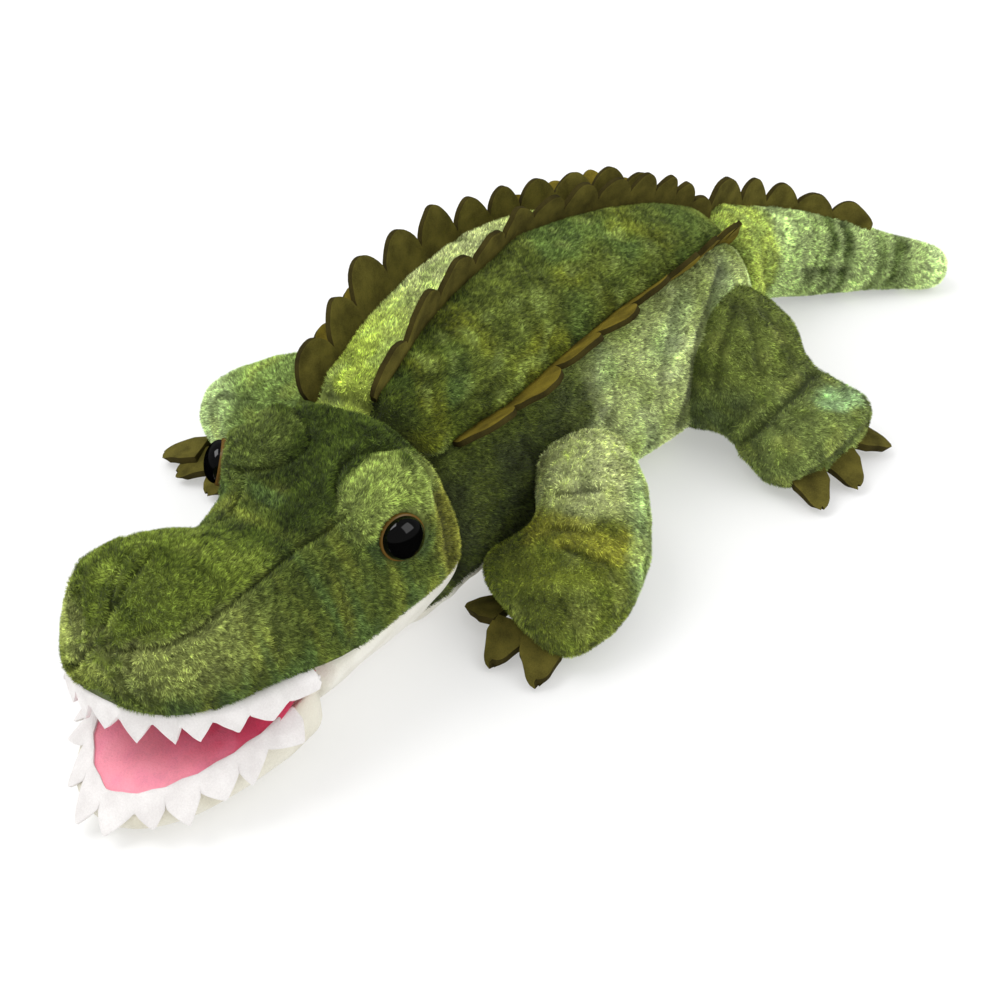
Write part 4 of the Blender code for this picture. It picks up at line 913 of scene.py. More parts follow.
# the seams with the depth and the width in millimetres of their grooves
GROOVES = ((TOP_SEAMS, 2.4, 2.4), (("belly_left", "belly_right"), 1.2, 1.6))
NECK_LINE = ((280, 392), (318, 394), (358, 400), (388, 423), (416, 448), (437, 480), (448, 523), (456, 575))
SIDE_CREASES = (
    (1.8, 2.6, ((722, 268), (712, 300), (700, 336), (690, 400), (679, 429))),
    (1.0, 1.8, ((655, 500), (672, 470), (680, 436))),
    (1.2, 2.2, ((590, 386), (606, 420), (622, 452))),
    (0.8, 1.8, ((642, 402), (650, 440), (640, 470))),
    (1.3, 2.4, ((524, 440), (541, 468), (545, 510))),
    (1.0, 2.0, ((676, 300), (668, 340), (660, 380))),
)
BACK_CREASES = (
    (0.8, 2.4, ((395, 392), (430, 378), (462, 372))),
    (0.8, 2.4, ((430, 425), (470, 398), (505, 385))),
    (0.7, 2.2, ((520, 262), (560, 300), (575, 345))),
)
t, turns = ring_grid(160, 250)
points = BODY.skin(t, turns)
row = t[:, 0]
seams = {
    "flank_left": flank_turn(row, 1),
    "spine_left": spine_turn(row, 1),
    "spine_right": spine_turn(row, -1),
    "flank_right": flank_turn(row, -1),
    "belly_right": 180 - keyed(BELLY_TURN_SHARES, row),
    "belly_left": 360 + keyed(BELLY_TURN_SHARES, row),
}
gaps = {name: ring_distance(points, turns, seam) for name, seam in seams.items()}
normals = grid_normals(points)
groove = 0
for names, depth, width in GROOVES:
    for name in names:
        groove = groove + depth * np.exp(-((gaps[name] / width) ** 2))
points = drawn_in(points, 1.2) - normals * (groove * MM)[..., None]
points = lumpy(points, (38, 1.2, 3), (14, 0.5, 4))
points, folds = creased(points, (*SIDE_CREASES, *BACK_CREASES), mirror=mirrored)
points, neck = creased(points, ((2.5, 4.0, NECK_LINE),))
points = laid(points)

zones = np.zeros(points.shape[:2], int)
spine_l, spine_r = seams["spine_left"][:, None], seams["spine_right"][:, None]
flank_l, flank_r = seams["flank_left"][:, None], seams["flank_right"][:, None]
zones[(turns >= flank_l) & (turns < spine_l)] = 1
zones[(turns >= spine_l) & (turns < spine_r)] = 2
zones[(turns >= spine_r) & (turns < flank_r)] = 3
zones[(turns >= flank_r) & (turns < seams["belly_right"][:, None])] = 4
zones[(turns >= seams["belly_left"][:, None]) | (turns < flank_l)] = 5
back = dyed_and_shaded(
    points,
    "#626e2c",
    ("#4c5a1c", 0.9 * eased(0.34, 0.12, t + 0.12 * noise_at(points, 24, 11))),
    ("#60793b", 0.7 * streaky(points, 24, 5, 0.0, 0.4)),
    ("#7e8426", 0.6 * streaky(points, 18, 1, 0.0, 0.4)),
    ("#3e4b17", 0.6 * streaky(points, 9, 2, 0.05, 0.5)),
    ("#93a455", 0.5 * streaky(points, 7, 12, 0.1, 0.5)),
    ("#54622a", 0.6 * eased(0.6, 0.8, t)),
)
band = dyed_and_shaded(
    points,
    "#c9d392",
    ("#aec047", 0.9 * eased(0.34, 0.1, t + 0.1 * noise_at(points, 20, 13))),
    ("#a3b566", 0.6 * streaky(points, 8, 3, 0.0, 0.4)),
    ("#96a63a", 0.7 * eased(0.45, 0.6, t)),
)
front = eased(0.50, 0.36, t + 0.06 * noise_at(points, 14, 14))
side = dyed_and_shaded(
    points,
    "#b9c683",
    ("#dbe6b0", 0.5 * streaky(points, 10, 7, 0.0, 0.5)),
    ("#8b9c4c", 0.6 * streaky(points, 13, 6, 0.0, 0.4)),
    ("#8fac7c", 0.3 * streaky(points, 20, 9, 0.1, 0.5)),
    ("#343e15", 0.95 * front),
    ("#5a6624", 0.45 * front * streaky(points, 9, 15, 0.0, 0.4)),
)
# painted shade: a darker band just below the left flank scales' seam, where the scales shade the side
side = mixed(side, "#5d6a26", 0.6 * eased(-16, -3, gaps["flank_left"]) * eased(2, -3, gaps["flank_left"]))
belly = dyed_and_shaded(points, "#f0ede2", ("#dcd7c6", 0.5 * streaky(points, 12, 8)))
# painted shade: the seam grooves, the creases and the neck's fold are darkened in the green panels' colour
seam_groove_shade = sum(np.exp(-((gaps[name] / 1.5) ** 2)) for name in TOP_SEAMS)
folds = np.maximum(folds, neck)
dark = 1 - 0.65 * np.maximum(folds, np.minimum(1, seam_groove_shade))
# each panel with its slot, its dye (with painted shade on the side panels), how many blades of pile it has,
# and what it stands for
PANELS = (
    ("belly_panel", "cream_fur", belly, 0, ("belly_panel", "torso")),
    ("back_panel_left", "moss_green_fur", back, 90000, ("back_panel_left",)),
    ("spine_band", "yellow_green_fur", band, 36000, ("spine_band",)),
    ("back_panel_right", "moss_green_fur", back, 90000, ("back_panel_right",)),
    ("side_panel_right", "pale_green_fur", side, 70000, ("side_panel_right",)),
    ("side_panel_left", "pale_green_fur", side, 90000, ("side_panel_left",)),
)
faces = grid_faces(*points.shape[:2], True)
face_zone = zones.ravel()[faces[:, 0]]
for zone, (name, slot, dye_and_shading, count, replaced) in enumerate(PANELS):
    mine = faces[face_zone == zone]
    used, fresh = np.unique(mine, return_inverse=True)
    cloth = GREEN_PLUSH if count else CREAM_PLUSH
    panel = mesh_object(name + "_cloth", points.reshape(-1, 3)[used], fresh.reshape(mine.shape), cloth)
    # the green panels' colour takes the painted shade of seams, creases and the neck's fold
    shown = dye_and_shading * dark[..., None] if count else dye_and_shading
    give_dye_and_shading(panel, shown.reshape(-1, 3)[used], 1 - 0.8 * folds.ravel()[used])
    if count:
        furred(panel, name, "body", slot, count, zone + 1)
    keep(panel, "body", slot, *replaced, fill=0.6)


def body_scales(name, turn, grow, notches, peak, material, seed):
    """A strip of scales sewn into one of the body's seams."""
    strip = felt_strip(
        name + "_felt",
        lambda at: BODY.skin(at, turn(at)) - BODY.normal(at, turn(at)) * SEWN_IN_MM * MM,
        lambda at: BODY.normal(at, turn(at)),
        grow,
        notches,
        SCALE_SEAT,
        peak,
        material,
        seed=seed,
    )
    keep(strip, "body", "olive_felt", name)


def spine_grow(at, sign):
    out = BODY.normal(at, spine_turn(at, sign))
    out = unit(np.stack((0 * at, out[:, 1], np.maximum(out[:, 2], 0.004)), 1))
    lean = math.radians(SPINE_LEAN)
    return out * math.cos(lean) + np.array((sign, 0, 0)) * math.sin(lean)


for (sign, name), middles in zip(SIDES, SPINE_MIDDLES_SHARES):
    body_scales(
        "spine_scales_" + name,
        lambda at: spine_turn(at, sign),
        lambda at: spine_grow(at, sign),
        between(middles),
        lambda at: SPINE_SCALE_HEIGHT * keyed(SPINE_HEIGHT_SHARES, at, 1 if sign > 0 else 2),
        OLIVE_FELT,
        11 + sign,
    )


def flank_grow(at, sign):
    """Flank scales stand out sideways, and turn up toward the tail."""
    rise = np.radians(keyed(FLANK_RISE_DEGREES, at))
    return np.stack((sign * np.cos(rise), 0 * at, np.sin(rise)), 1)


for sign, name in SIDES:
    body_scales(
        "flank_scales_" + name,
        lambda at: flank_turn(at, sign),
        lambda at: flank_grow(at, sign),
        FLANK_NOTCHES_SHARES,
        lambda at: FLANK_SCALE_HEIGHT + 0 * at,
        # painted highlight: the flank scales' olive felt, made lighter
        OLIVE_FELT_PAINTED_LIT,
        21 + sign,
    )


# Head


def smooth_most(a, b, blend):
    share = np.clip(0.5 + 0.5 * (b - a) / blend, 0, 1)
    return a + (b - a) * share + blend * share * (1 - share)


def bulged(points, pivot, place, size, blend):
    """Pushes a skin away from a pivot, out to an ellipsoid that bulges through it. Pivot, place and size are
    in the head's measure."""
    here = np.stack(in_head(points), -1)
    half = np.array(size) / 2
    away = here - np.array(pivot)
    reach = np.linalg.norm(away, axis=-1)
    way = away / np.maximum(reach, EPS)[..., None] / half
    start = (np.array(pivot) - np.array(place)) / half
    a, b, c = (way**2).sum(-1), (way * start).sum(-1), (start**2).sum() - 1
    out = (-b + np.sqrt(np.maximum(b * b - a * c, 0))) / a
    out = np.where(b * b - a * c > 0, out, 0)
    longer = np.where(out > 0, smooth_most(reach, out, blend), reach)
    here = np.array(pivot) + away / np.maximum(reach, EPS)[..., None] * longer[..., None]
    return on_head(here[..., 0], here[..., 1], here[..., 2])


def eye_frame(sign):
    """Where an eye stands, and which way it looks."""
    ahead, up = EYE_FORWARD_TURNS[sign], EYE_UP_TURN
    look = (LEFT * sign * math.cos(ahead) - BACK * math.sin(ahead)) * math.cos(up) + Z * math.sin(up)
    return on_head(*EYE_PLACES[sign]) + look * EYE_OUT, look


def lip_level(s):
    return keyed(LIP_MM, s / MM) * MM


def head_mirror(points):
    s, left, level = in_head(points)
    lean = 2 * HEAD_WIDTH * keyed(HEAD_SHARES[:6], s / HEAD_LENGTH)
    return on_head(s, lean - left, level)


NECK_BEND = ((0.018, -0.096, 0.045), (0.026, -0.150, 0.045))
SNOUT_SEAM = (
    *((74, 668), (88, 649), (129, 651), (166, 645), (201, 628)),
    *((228, 606), (268, 572), (295, 549), (316, 537), (346, 517)),
)
HEAD_CREASES = (
    (2.4, 1.6, SNOUT_SEAM),
    (1.5, 1.4, ((190, 566), (206, 573), (217, 585), (218, 598), (213, 612), (203, 625))),
    (1.8, 1.5, ((150, 556), (138, 568), (123, 587), (112, 611), (93, 640), (84, 655))),
    (1.2, 1.3, ((80, 590), (82, 620), (78, 650))),
    (2.2, 1.6, ((350, 458), (340, 466), (335, 478), (334, 492), (338, 506), (346, 517))),
    (1.4, 1.5, ((350, 458), (374, 451), (400, 452), (420, 461), (434, 480))),
    (0.8, 1.3, ((275, 590), (270, 620), (276, 652))),
    (0.8, 1.3, ((303, 575), (315, 606), (316, 640))),
    (0.8, 1.3, ((328, 560), (340, 590), (345, 622))),
    (0.6, 1.2, ((250, 606), (246, 640), (250, 672))),
    (0.7, 1.3, ((366, 545), (374, 575), (372, 600))),
)
t, turns = ring_grid(150, 250)
points = drawn_in(HEAD.skin(t, turns), 1.2)
s, left, level = in_head(points)
valley = VALLEY_DEPTH * np.exp(-((left / (12 * MM)) ** 2)) * eased(48 * MM, 78 * MM, s)
valley = valley * (np.sin(np.radians(turns)) > 0)
points = points - Z * valley[..., None]
for sign in (1, -1):
    points = bulged(points, BROW_PIVOTS[sign], BROW_PLACES[sign], BROW_SIZE, 4 * MM)
for sign in (1, -1):
    place, look = eye_frame(sign)
    above = (points - place) @ look
    beside = np.linalg.norm(points - place - above[..., None] * look, axis=-1)
    flush = eased(14 * MM, 8 * MM, beside) * (np.abs(above) < 0.02)
    points = points - (flush * (above + 0.6 * MM))[..., None] * look
points = lumpy(points, (30, 1.0, 31), (11, 0.5, 32))
points, folds = creased(points, HEAD_CREASES, mirror=head_mirror)
points, neck = creased(points, ((3.0, 3.5, NECK_LINE),), mirror=head_mirror)
s, left, level = in_head(points)
points[..., 2] = np.maximum(level, lip_level(s))
s, left, level = in_head(points)
seam_level = keyed(SNOUT_SEAM_MM, s / MM) * MM
above = eased(-1.2 * MM, 1.2 * MM, level - seam_level)
# rim marks the upper front of the snout's sides, which get a painted highlight
rim = eased(52 * MM, 6 * MM, s + 7 * MM * noise_at(points, 12, 49)) * eased(46 * MM, 62 * MM, level)
dye_and_shading = dyed_and_shaded(
    points,
    "#5c6a2c",
    ("#848e3a", 0.7 * streaky(np.stack((s * 2.2, left * 0.4, level * 0.5), -1), 10, 44, 0.0, 0.4)),
    ("#58703a", 0.7 * streaky(np.stack((s * 2.0, left * 0.4, level * 0.5), -1), 11, 45, 0.05, 0.4)),
    # painted highlight on the snout's upper front sides
    ("#a9b364", 0.85 * rim),
    ("#8a8a38", 0.8 * eased(96 * MM, 106 * MM, s + 4 * MM * noise_at(points, 10, 46))),
)
top = dyed_and_shaded(
    points,
    "#6d7d2d",
    ("#3f4e19", 0.95 * eased(36 * MM, 62 * MM, s + 6 * MM * noise_at(points, 14, 47))),
    ("#33420f", 0.5 * streaky(points, 8, 42, 0.0, 0.5)),
    ("#869440", 0.45 * streaky(points, 7, 41, 0.1, 0.5) * eased(70 * MM, 40 * MM, s)),
)
dye_and_shading = dye_and_shading * (1 - above[..., None]) + top * above[..., None]
# painted shade low at the back of the head, where it tucks against the body
dye_and_shading = mixed(dye_and_shading, "#3a4418", 0.9 * eased(114 * MM, 121 * MM, s) * eased(80 * MM, 70 * MM, level))
cap = 0
for sign in (1, -1):
    off = (np.stack((s, left, level), -1) - np.array(BROW_PLACES[sign])) / (np.array(BROW_SIZE) / 2)
    shown = eased(1.16, 1.03, np.linalg.norm(off, axis=-1)) * eased(-0.25, 0.1, off[..., 2])
    cap = np.maximum(cap, shown * (1 if sign > 0 else 0.3))
dye_and_shading = mixed(dye_and_shading, "#9aab58", 0.95 * cap)
dye_and_shading = mixed(dye_and_shading, "#77893a", 0.6 * cap * streaky(points, 8, 48, 0.0, 0.4))
folds = np.maximum(folds, neck)
# painted shade in the head's creases and the neck's fold
dye_and_shading = dye_and_shading * (1 - 0.65 * folds)[..., None]
# painted shade in each eye's socket: within about 9 mm of an eye the cloth is darkened and grows no pile
out_of_socket_shade = 1
for sign in (1, -1):
    place, look = eye_frame(sign)
    out_of_socket_shade = out_of_socket_shade * eased(8.3 * MM, 9.6 * MM, np.linalg.norm(points - place, axis=-1))
dye_and_shading = dye_and_shading * (0.45 + 0.55 * out_of_socket_shade)[..., None]
furry = (1 - 0.8 * folds) * out_of_socket_shade * (level > lip_level(s) + 0.5 * MM)
head = skin_object("head_cloth", points, GREEN_PLUSH, dye_and_shading, furry)
furred(head, "head", ("body", "head"), "moss_green_fur", 199000, 40, NECK_BEND)
keep(head, ("body", "head"), "moss_green_fur", "head", "brow_left", "brow_right", fill=0.7, bend=NECK_BEND)

t, turns = ring_grid(70, 150)
points = THROAT.skin(t, turns)
points = laid(lumpy(points, (30, 0.8, 51), (12, 0.4, 52)))
dye_and_shading = dyed_and_shaded(points, "#f0ede2", ("#dfdbcb", 0.5 * streaky(points, 10, 53)))
throat = skin_object("throat_cloth", points, CREAM_PLUSH, dye_and_shading)
keep(throat, ("body", "head"), "cream_fur", "throat", fill=0.6, bend=NECK_BEND)

# Lower jaw, lining and teeth
JAW_BEND = (on_head(0.056, 0, 0.03), on_head(0.038, 0, 0.03))


def mouth_edge(turn, mouth, inset):
    a = np.radians(turn)
    reach = np.abs(np.sin(a)) ** (2 / mouth["roundness"])
    across = signed_power(np.cos(a), 2 / mouth["roundness"])
    half = mouth["width"] / 2 - inset
    return mouth["corner"] - (mouth["depth"] - inset) * reach, half * across - mouth["lean"] * reach


def even_turns(mouth, start, count):
    turns = np.linspace(start, 180 - start, 1200)
    places = np.stack(mouth_edge(turns, mouth, 0), 1)
    run = np.r_[0, np.cumsum(np.linalg.norm(np.diff(places, axis=0), axis=1))]
    return np.interp(np.linspace(0, run[-1], count + 1), run, turns)


def floor_reach(s, left):
    """0 in the middle of the mouth's floor and 1 at its edge."""
    share = np.maximum(0, FLOOR["corner"] - s) / FLOOR["depth"]
    aside = np.abs(left + FLOOR["lean"] * share) / (FLOOR["width"] / 2)
    return (share ** FLOOR["roundness"] + aside ** FLOOR["roundness"]) ** (1 / FLOOR["roundness"])


def outside_floor(s, left):
    ahead = np.maximum(0, FLOOR["corner"] - s)
    return np.maximum(0, np.hypot(ahead, left) * (1 - 1 / np.maximum(floor_reach(s, left), 0.004)))


def jaw_top(s, left):
    return rim_level(s) - math.tan(math.radians(JAW_SLOPE)) * outside_floor(s, left)


t, turns = ring_grid(90, 170)
points = LOWER_JAW.skin(t, turns)
s, left, level = in_head(points)
ceiling = jaw_top(s, left) - 1.2 * MM - 3.5 * MM * eased(1.0, 0.85, floor_reach(s, left))
points[..., 2] = -smooth_most(-level, -ceiling, 2.5 * MM)
points = laid(lumpy(points, (26, 0.6, 61), (10, 0.35, 62)))
dye_and_shading = dyed_and_shaded(points, "#e6e2d2", ("#d3cdb8", 0.5 * streaky(points, 9, 63)))
jaw = skin_object("lower_jaw_cloth", points, CREAM_PLUSH, dye_and_shading)
keep(jaw, ("head", "jaw"), "cream_fur", "lower_jaw", fill=0.6, bend=JAW_BEND)


def lining(name, mouth, level_at, facing_down):
    """A sheet of lining inside the mouth's edge, drawn down into the stuffing toward its middle."""
    turn = even_turns(mouth, 0, 90)
    insets = np.linspace(-0.0006, mouth["width"] / 2 * 0.985, 34)
    rows = []
    for k, inset in enumerate(insets):
        s, left = mouth_edge(turn, mouth, inset)
        share = k / (len(insets) - 1)
        rows.append(on_head(s, left, level_at(s, left, share)))
    points = np.stack(rows)
    depth = noise_at(points, 14, 71)[..., None] * 0.5 * MM
    points = points + Z * depth * np.linspace(0, 1, len(insets))[:, None, None]
    piece = mesh_object(name, points, grid_faces(*points.shape[:2], False), PINK_PLUSH)
    s, left, level = in_head(points)
    deep = eased(0, 30 * MM, s + 5 * MM * noise_at(points, 12, 73))
    dye_and_shading = dyed_and_shaded(points, "#ffa0b2", ("#f04a72", deep), ("#f58ba8", 0.35 * streaky(points, 6, 72)))
    give_dye_and_shading(piece, dye_and_shading.reshape(-1, 3))
    if facing_down:
        piece.data.flip_normals()
    return piece


def floor_level(s, left, share):
    level = rim_level(s) + 0.3 * MM - 2.2 * MM * math.sin(math.pi / 2 * share)
    return level + 6 * MM * eased(30 * MM, 48 * MM, s)


floor = lining("mouth_floor_cloth", FLOOR, floor_level, False)
keep(floor, "jaw", "pink_lining", "mouth_floor")


def palate_level(s, left, share):
    level = lip_level(s) - 0.6 * MM + 2.4 * MM * math.sin(math.pi / 2 * share)
    return level - 5 * MM * eased(34 * MM, 48 * MM, s)


palate = lining("palate_cloth", MOUTH, palate_level, True)
keep(palate, "head", "pink_lining", "palate")


def taper(u, least, power):
    return least + (1 - least) * np.sin(np.pi * u) ** power


def cut_teeth(rng, u, count):
    """Where u falls in a hand-cut row of uneven teeth: how far out the cut is, with 1 at a tip, and which
    tooth it is."""
    edges = np.cumsum(rng.uniform(0.75, 1.25, count))
    at = np.interp(u, np.r_[0, edges] / edges[-1], np.arange(count + 1))
    return (1 - np.abs(2 * (at % 1.0) - 1)) ** 0.85, np.minimum(count - 1, at.astype(int))


def tooth_strip(name, rows):
    points = np.stack(rows)
    piece = mesh_object(name, points, grid_faces(*points.shape[:2], False), WHITE_FELT)
    return thickened(piece, TOOTH_FELT, 0.25, 2)


rng = np.random.default_rng(5)
turn = even_turns(MOUTH, 0, UPPER_TEETH * 16)
u = np.linspace(0, 1, len(turn))
wave, tooth = cut_teeth(rng, u, UPPER_TEETH)
most = UPPER_TOOTH_HEIGHT * taper(u, UPPER_CORNER_SHARE, 0.9) * rng.uniform(0.8, 1.08, UPPER_TEETH)[tooth]
band = np.minimum(TOOTH_BAND, 0.5 * most)
deep = band + (most - band) * wave
skew = rng.normal(0, TOOTH_SKEW, UPPER_TEETH)[tooth] * wave
sway = np.interp(u * UPPER_TEETH, np.arange(UPPER_TEETH + 1), rng.normal(0, 0.8, UPPER_TEETH + 1)) * MM
s, left = mouth_edge(turn, MOUTH, TOOTH_BAND)
rows = [on_head(s, left, lip_level(s) - 0.2 * MM)]
s, left = mouth_edge(turn, MOUTH, 0.8 * MM)
rows.append(on_head(s, left, lip_level(s) - 0.4 * MM))
for k in range(9):
    share = k / 8
    aside = np.clip(turn + skew * share, 0, 180)
    s, left = mouth_edge(aside, MOUTH, -0.4 * MM - (2.0 * MM + sway) * share)
    rows.append(on_head(s, left, lip_level(s) - 1.2 * MM - (deep - 1.2 * MM) * share))
keep(tooth_strip("upper_teeth_felt", rows), "head", "white_felt", "upper_teeth")

turn = even_turns(FLOOR, LOWER_TEETH_TURN, LOWER_TEETH * 16)
u = np.linspace(0, 1, len(turn))
wave, tooth = cut_teeth(rng, u, LOWER_TEETH)
most = LOWER_TOOTH_HEIGHT * taper(u, LOWER_CORNER_SHARE, 0.5) * rng.uniform(0.8, 1.15, LOWER_TEETH)[tooth]
long = TOOTH_BAND + (most - TOOTH_BAND) * wave
skew = rng.normal(0, TOOTH_SKEW, LOWER_TEETH)[tooth] * wave
rows = []
for k in range(-1, 10):
    share = k / 9
    s, left = mouth_edge(turn + skew * np.clip(share, 0, 1), FLOOR, -long * share)
    droop = 1.6 * MM * np.clip(share, 0, 1) ** 2
    rows.append(on_head(s, left, jaw_top(s, left) + 0.5 * MM - droop))
keep(tooth_strip("lower_teeth_felt", rows), "jaw", "white_felt", "lower_teeth")

# Eyes


def turned(name, profile, steps, place, look, materials, split):
    """A solid turned from a profile down its outer side, with a second material beyond a radius."""
    z = unit(look)
    x = unit(np.cross(Z, z))
    y = np.cross(z, x)
    a = np.arange(steps) * 2 * np.pi / steps
    points = [place + (x * r * np.cos(v) + y * r * np.sin(v)) + z * h for r, h in profile for v in a]
    faces = grid_faces(len(profile), steps, True)[:, ::-1]
    piece = mesh_object(name, points, faces, materials[0])
    piece.data.materials.append(materials[1])
    outer = np.array([r for r, h in profile])[faces[:, 1] // steps] >= split
    piece.data.polygons.foreach_set("material_index", outer.astype(np.int32))
    return piece


for sign, name in SIDES:
    place, look = eye_frame(sign)
    radius = EYE_SHOWN / 2
    pupil = radius * PUPIL_SHARE
    rise = np.linspace(0, math.pi / 2, 20)
    profile = [(max(pupil * math.sin(v), CLOSED), EYE_RIM + EYE_DOME * math.cos(v)) for v in rise]
    profile += [(pupil + 0.05 * MM, EYE_RIM - 0.1 * MM), (radius - 0.35 * MM, EYE_RIM - 0.1 * MM)]
    profile += [(radius - 0.1 * MM, EYE_RIM - 0.35 * MM), (radius, EYE_RIM / 2)]
    profile += [(radius, -2 * MM), (CLOSED, -2 * MM)]
    split = pupil + 0.01 * MM
    eye = turned("eye_" + name + "_dome", profile, 72, place, look, (EYE_BLACK, EYE_AMBER), split)
    keep(eye, "head", "black_gloss", "eye_" + name)

# Tail
TAIL_BEND = ((-0.004, 0.076, 0.034), (-0.006, 0.106, 0.030))
TAIL_CREASES = (
    (1.3, 2.0, ((805, 272), (828, 270), (850, 276))),
    (0.8, 1.6, ((742, 262), (750, 285))),
    (0.8, 1.6, ((760, 258), (766, 286))),
    (0.8, 1.6, ((795, 222), (806, 246), (802, 275))),
    (0.7, 1.6, ((838, 226), (846, 250), (840, 285))),
    (0.7, 1.6, ((872, 236), (880, 258), (874, 288))),
)
# where a painted wrinkle shadow starts and ends across the photograph, how much of it shows, and its colour
TAIL_WRINKLE_SHADOWS = (
    (788, 798, 0.7, "#6d8142"),
    (806, 816, 0.9, "#4b5f22"),
    (827, 838, 0.9, "#45581e"),
    (866, 876, 0.8, "#5c7030"),
    (884, 902, 0.9, "#53672a"),
)
t, turns = ring_grid(140, 150)
points = drawn_in(TAIL.skin(t, turns), 1.2)
points = lumpy(points, (26, 0.9, 81), (11, 0.5, 82))
points, folds = creased(points, TAIL_CREASES, mirror=mirrored)
points = laid(points)
centre = path_points(TAIL_PATH, t[:, 0])
cx = pixels_of(centre)[0][:, None] + 6 * noise_at(points, 12, 83)
coats = [("#b3c24e", 0.8 * eased(748, 732, cx))]
# each band is painted shade in a wrinkle across the tail, darker green over the pale tail
for low, high, amount, colour in TAIL_WRINKLE_SHADOWS:
    wrinkle_shadow = eased(low - 6, low + 4, cx) * eased(high + 8, high - 3, cx)
    coats.append((colour, amount * wrinkle_shadow * (0.65 + 0.35 * streaky(points, 7, 84, -0.3, 0.3))))
coats.append(("#6a7a2c", 0.5 * streaky(points, 9, 85, 0.05, 0.5) * eased(770, 735, cx)))
coats.append(("#d3e6a8", 0.9 * eased(915, 930, cx)))
coats.append(("#8aa35c", 0.35 * streaky(points, 6, 86)))
dye_and_shading = dyed_and_shaded(points, "#bccf8c", *coats)
# painted shade in the tail's creases
dye_and_shading = dye_and_shading * (1 - 0.6 * folds)[..., None]
tail = skin_object("tail_cloth", points, GREEN_PLUSH, dye_and_shading, 1 - 0.8 * folds)
furred(tail, "tail", ("body", "tail"), "pale_green_fur", 130000, 80, TAIL_BEND, (0.2, 1.0, -0.2))
keep(tail, ("body", "tail"), "pale_green_fur", "tail", fill=0.6, bend=TAIL_BEND)
strip = felt_strip(
    "tail_crest_felt",
    lambda at: TAIL.skin(at, np.full_like(at, 90.0)) - TAIL.section(at)[2] * CREST_SEAT,
    lambda at: TAIL.section(at)[2],
    lambda at: TAIL.section(at)[2],
    CREST_NOTCHES_SHARES,
    CREST_SEAT,
    lambda at: CREST_SCALE_HEIGHT * keyed(CREST_HEIGHT_SHARES, at),
    OLIVE_FELT,
    seed=31,
)
keep(strip, ("body", "tail"), "olive_felt", "tail_crest", bend=TAIL_BEND)

# Legs
LEG_CREASES = {
    "front_left": (
        (1.6, 1.6, ((556, 494), (576, 492), (600, 488))),
        (1.2, 1.5, ((548, 528), (570, 529), (592, 533))),
        (1.8, 1.6, ((562, 546), (585, 556), (607, 562), (619, 582))),
        (1.6, 1.6, ((488, 612), (505, 632), (528, 650), (556, 664))),
        (0.9, 1.5, ((560, 600), (572, 622), (574, 640))),
    ),
    "front_right": ((1.2, 1.6, ((223, 395), (250, 400), (270, 412))),),
    "hind_left": (
        (3.0, 2.4, ((815, 372), (796, 391), (776, 410), (758, 428), (743, 441))),
        (1.2, 1.5, ((870, 420), (842, 448), (815, 470), (785, 495))),
        (0.8, 1.2, ((828, 392), (850, 388))),
        (1.4, 1.8, ((745, 305), (756, 340), (760, 376))),
        (1.2, 1.8, ((735, 303), (722, 345), (714, 390))),
        (1.2, 1.8, ((757, 302), (780, 330), (794, 360))),
        (0.9, 1.6, ((775, 425), (790, 445), (786, 468))),
    ),
    "hind_right": (),
}


def claw(name, place, way, tilt, seed):
    """A felt tongue, wide at its root and round at its tip, that droops a little."""
    rng = np.random.default_rng(seed)
    side = unit(np.cross(Z, way))
    along = np.linspace(-CLAW_ROOT, CLAW_LENGTH, 26)
    share = np.clip(along / CLAW_LENGTH, 0, 1)
    half = CLAW_WIDTH / 2 - (CLAW_WIDTH / 2 - CLAW_TIP) * share**0.9
    tip = np.clip((along - (CLAW_LENGTH - CLAW_TIP)) / CLAW_TIP, 0, 1)
    half = np.maximum(half * np.sqrt(np.clip(1 - tip**2, 0, 1)), 0.15 * MM)
    across = np.linspace(-1, 1, 17)
    drop = math.tan(tilt) * along + 1.5 * MM * share**2
    twist = rng.normal(0, 0.6) * MM
    cup = -0.5 * MM * share[:, None] * (across[None] ** 2 - 0.5)
    points = place + way * along[:, None, None] + side * (half[:, None] * across[None])[..., None]
    points = points + Z * (cup - drop[:, None] + twist * across[None] * share[:, None])[..., None]
    piece = mesh_object(name, points, grid_faces(26, 17, False), OLIVE_FELT)
    # the claw's cut edges get the felt painted darker, as painted shade
    piece.data.materials.append(FELT_EDGE_PAINTED_SHADE)
    thickened(piece, CLAW_THICKNESS, 0.6, 3, rim=1)
    for vertex in piece.data.vertices:
        vertex.co.z = max(vertex.co.z, 0.05 * MM)
    return piece


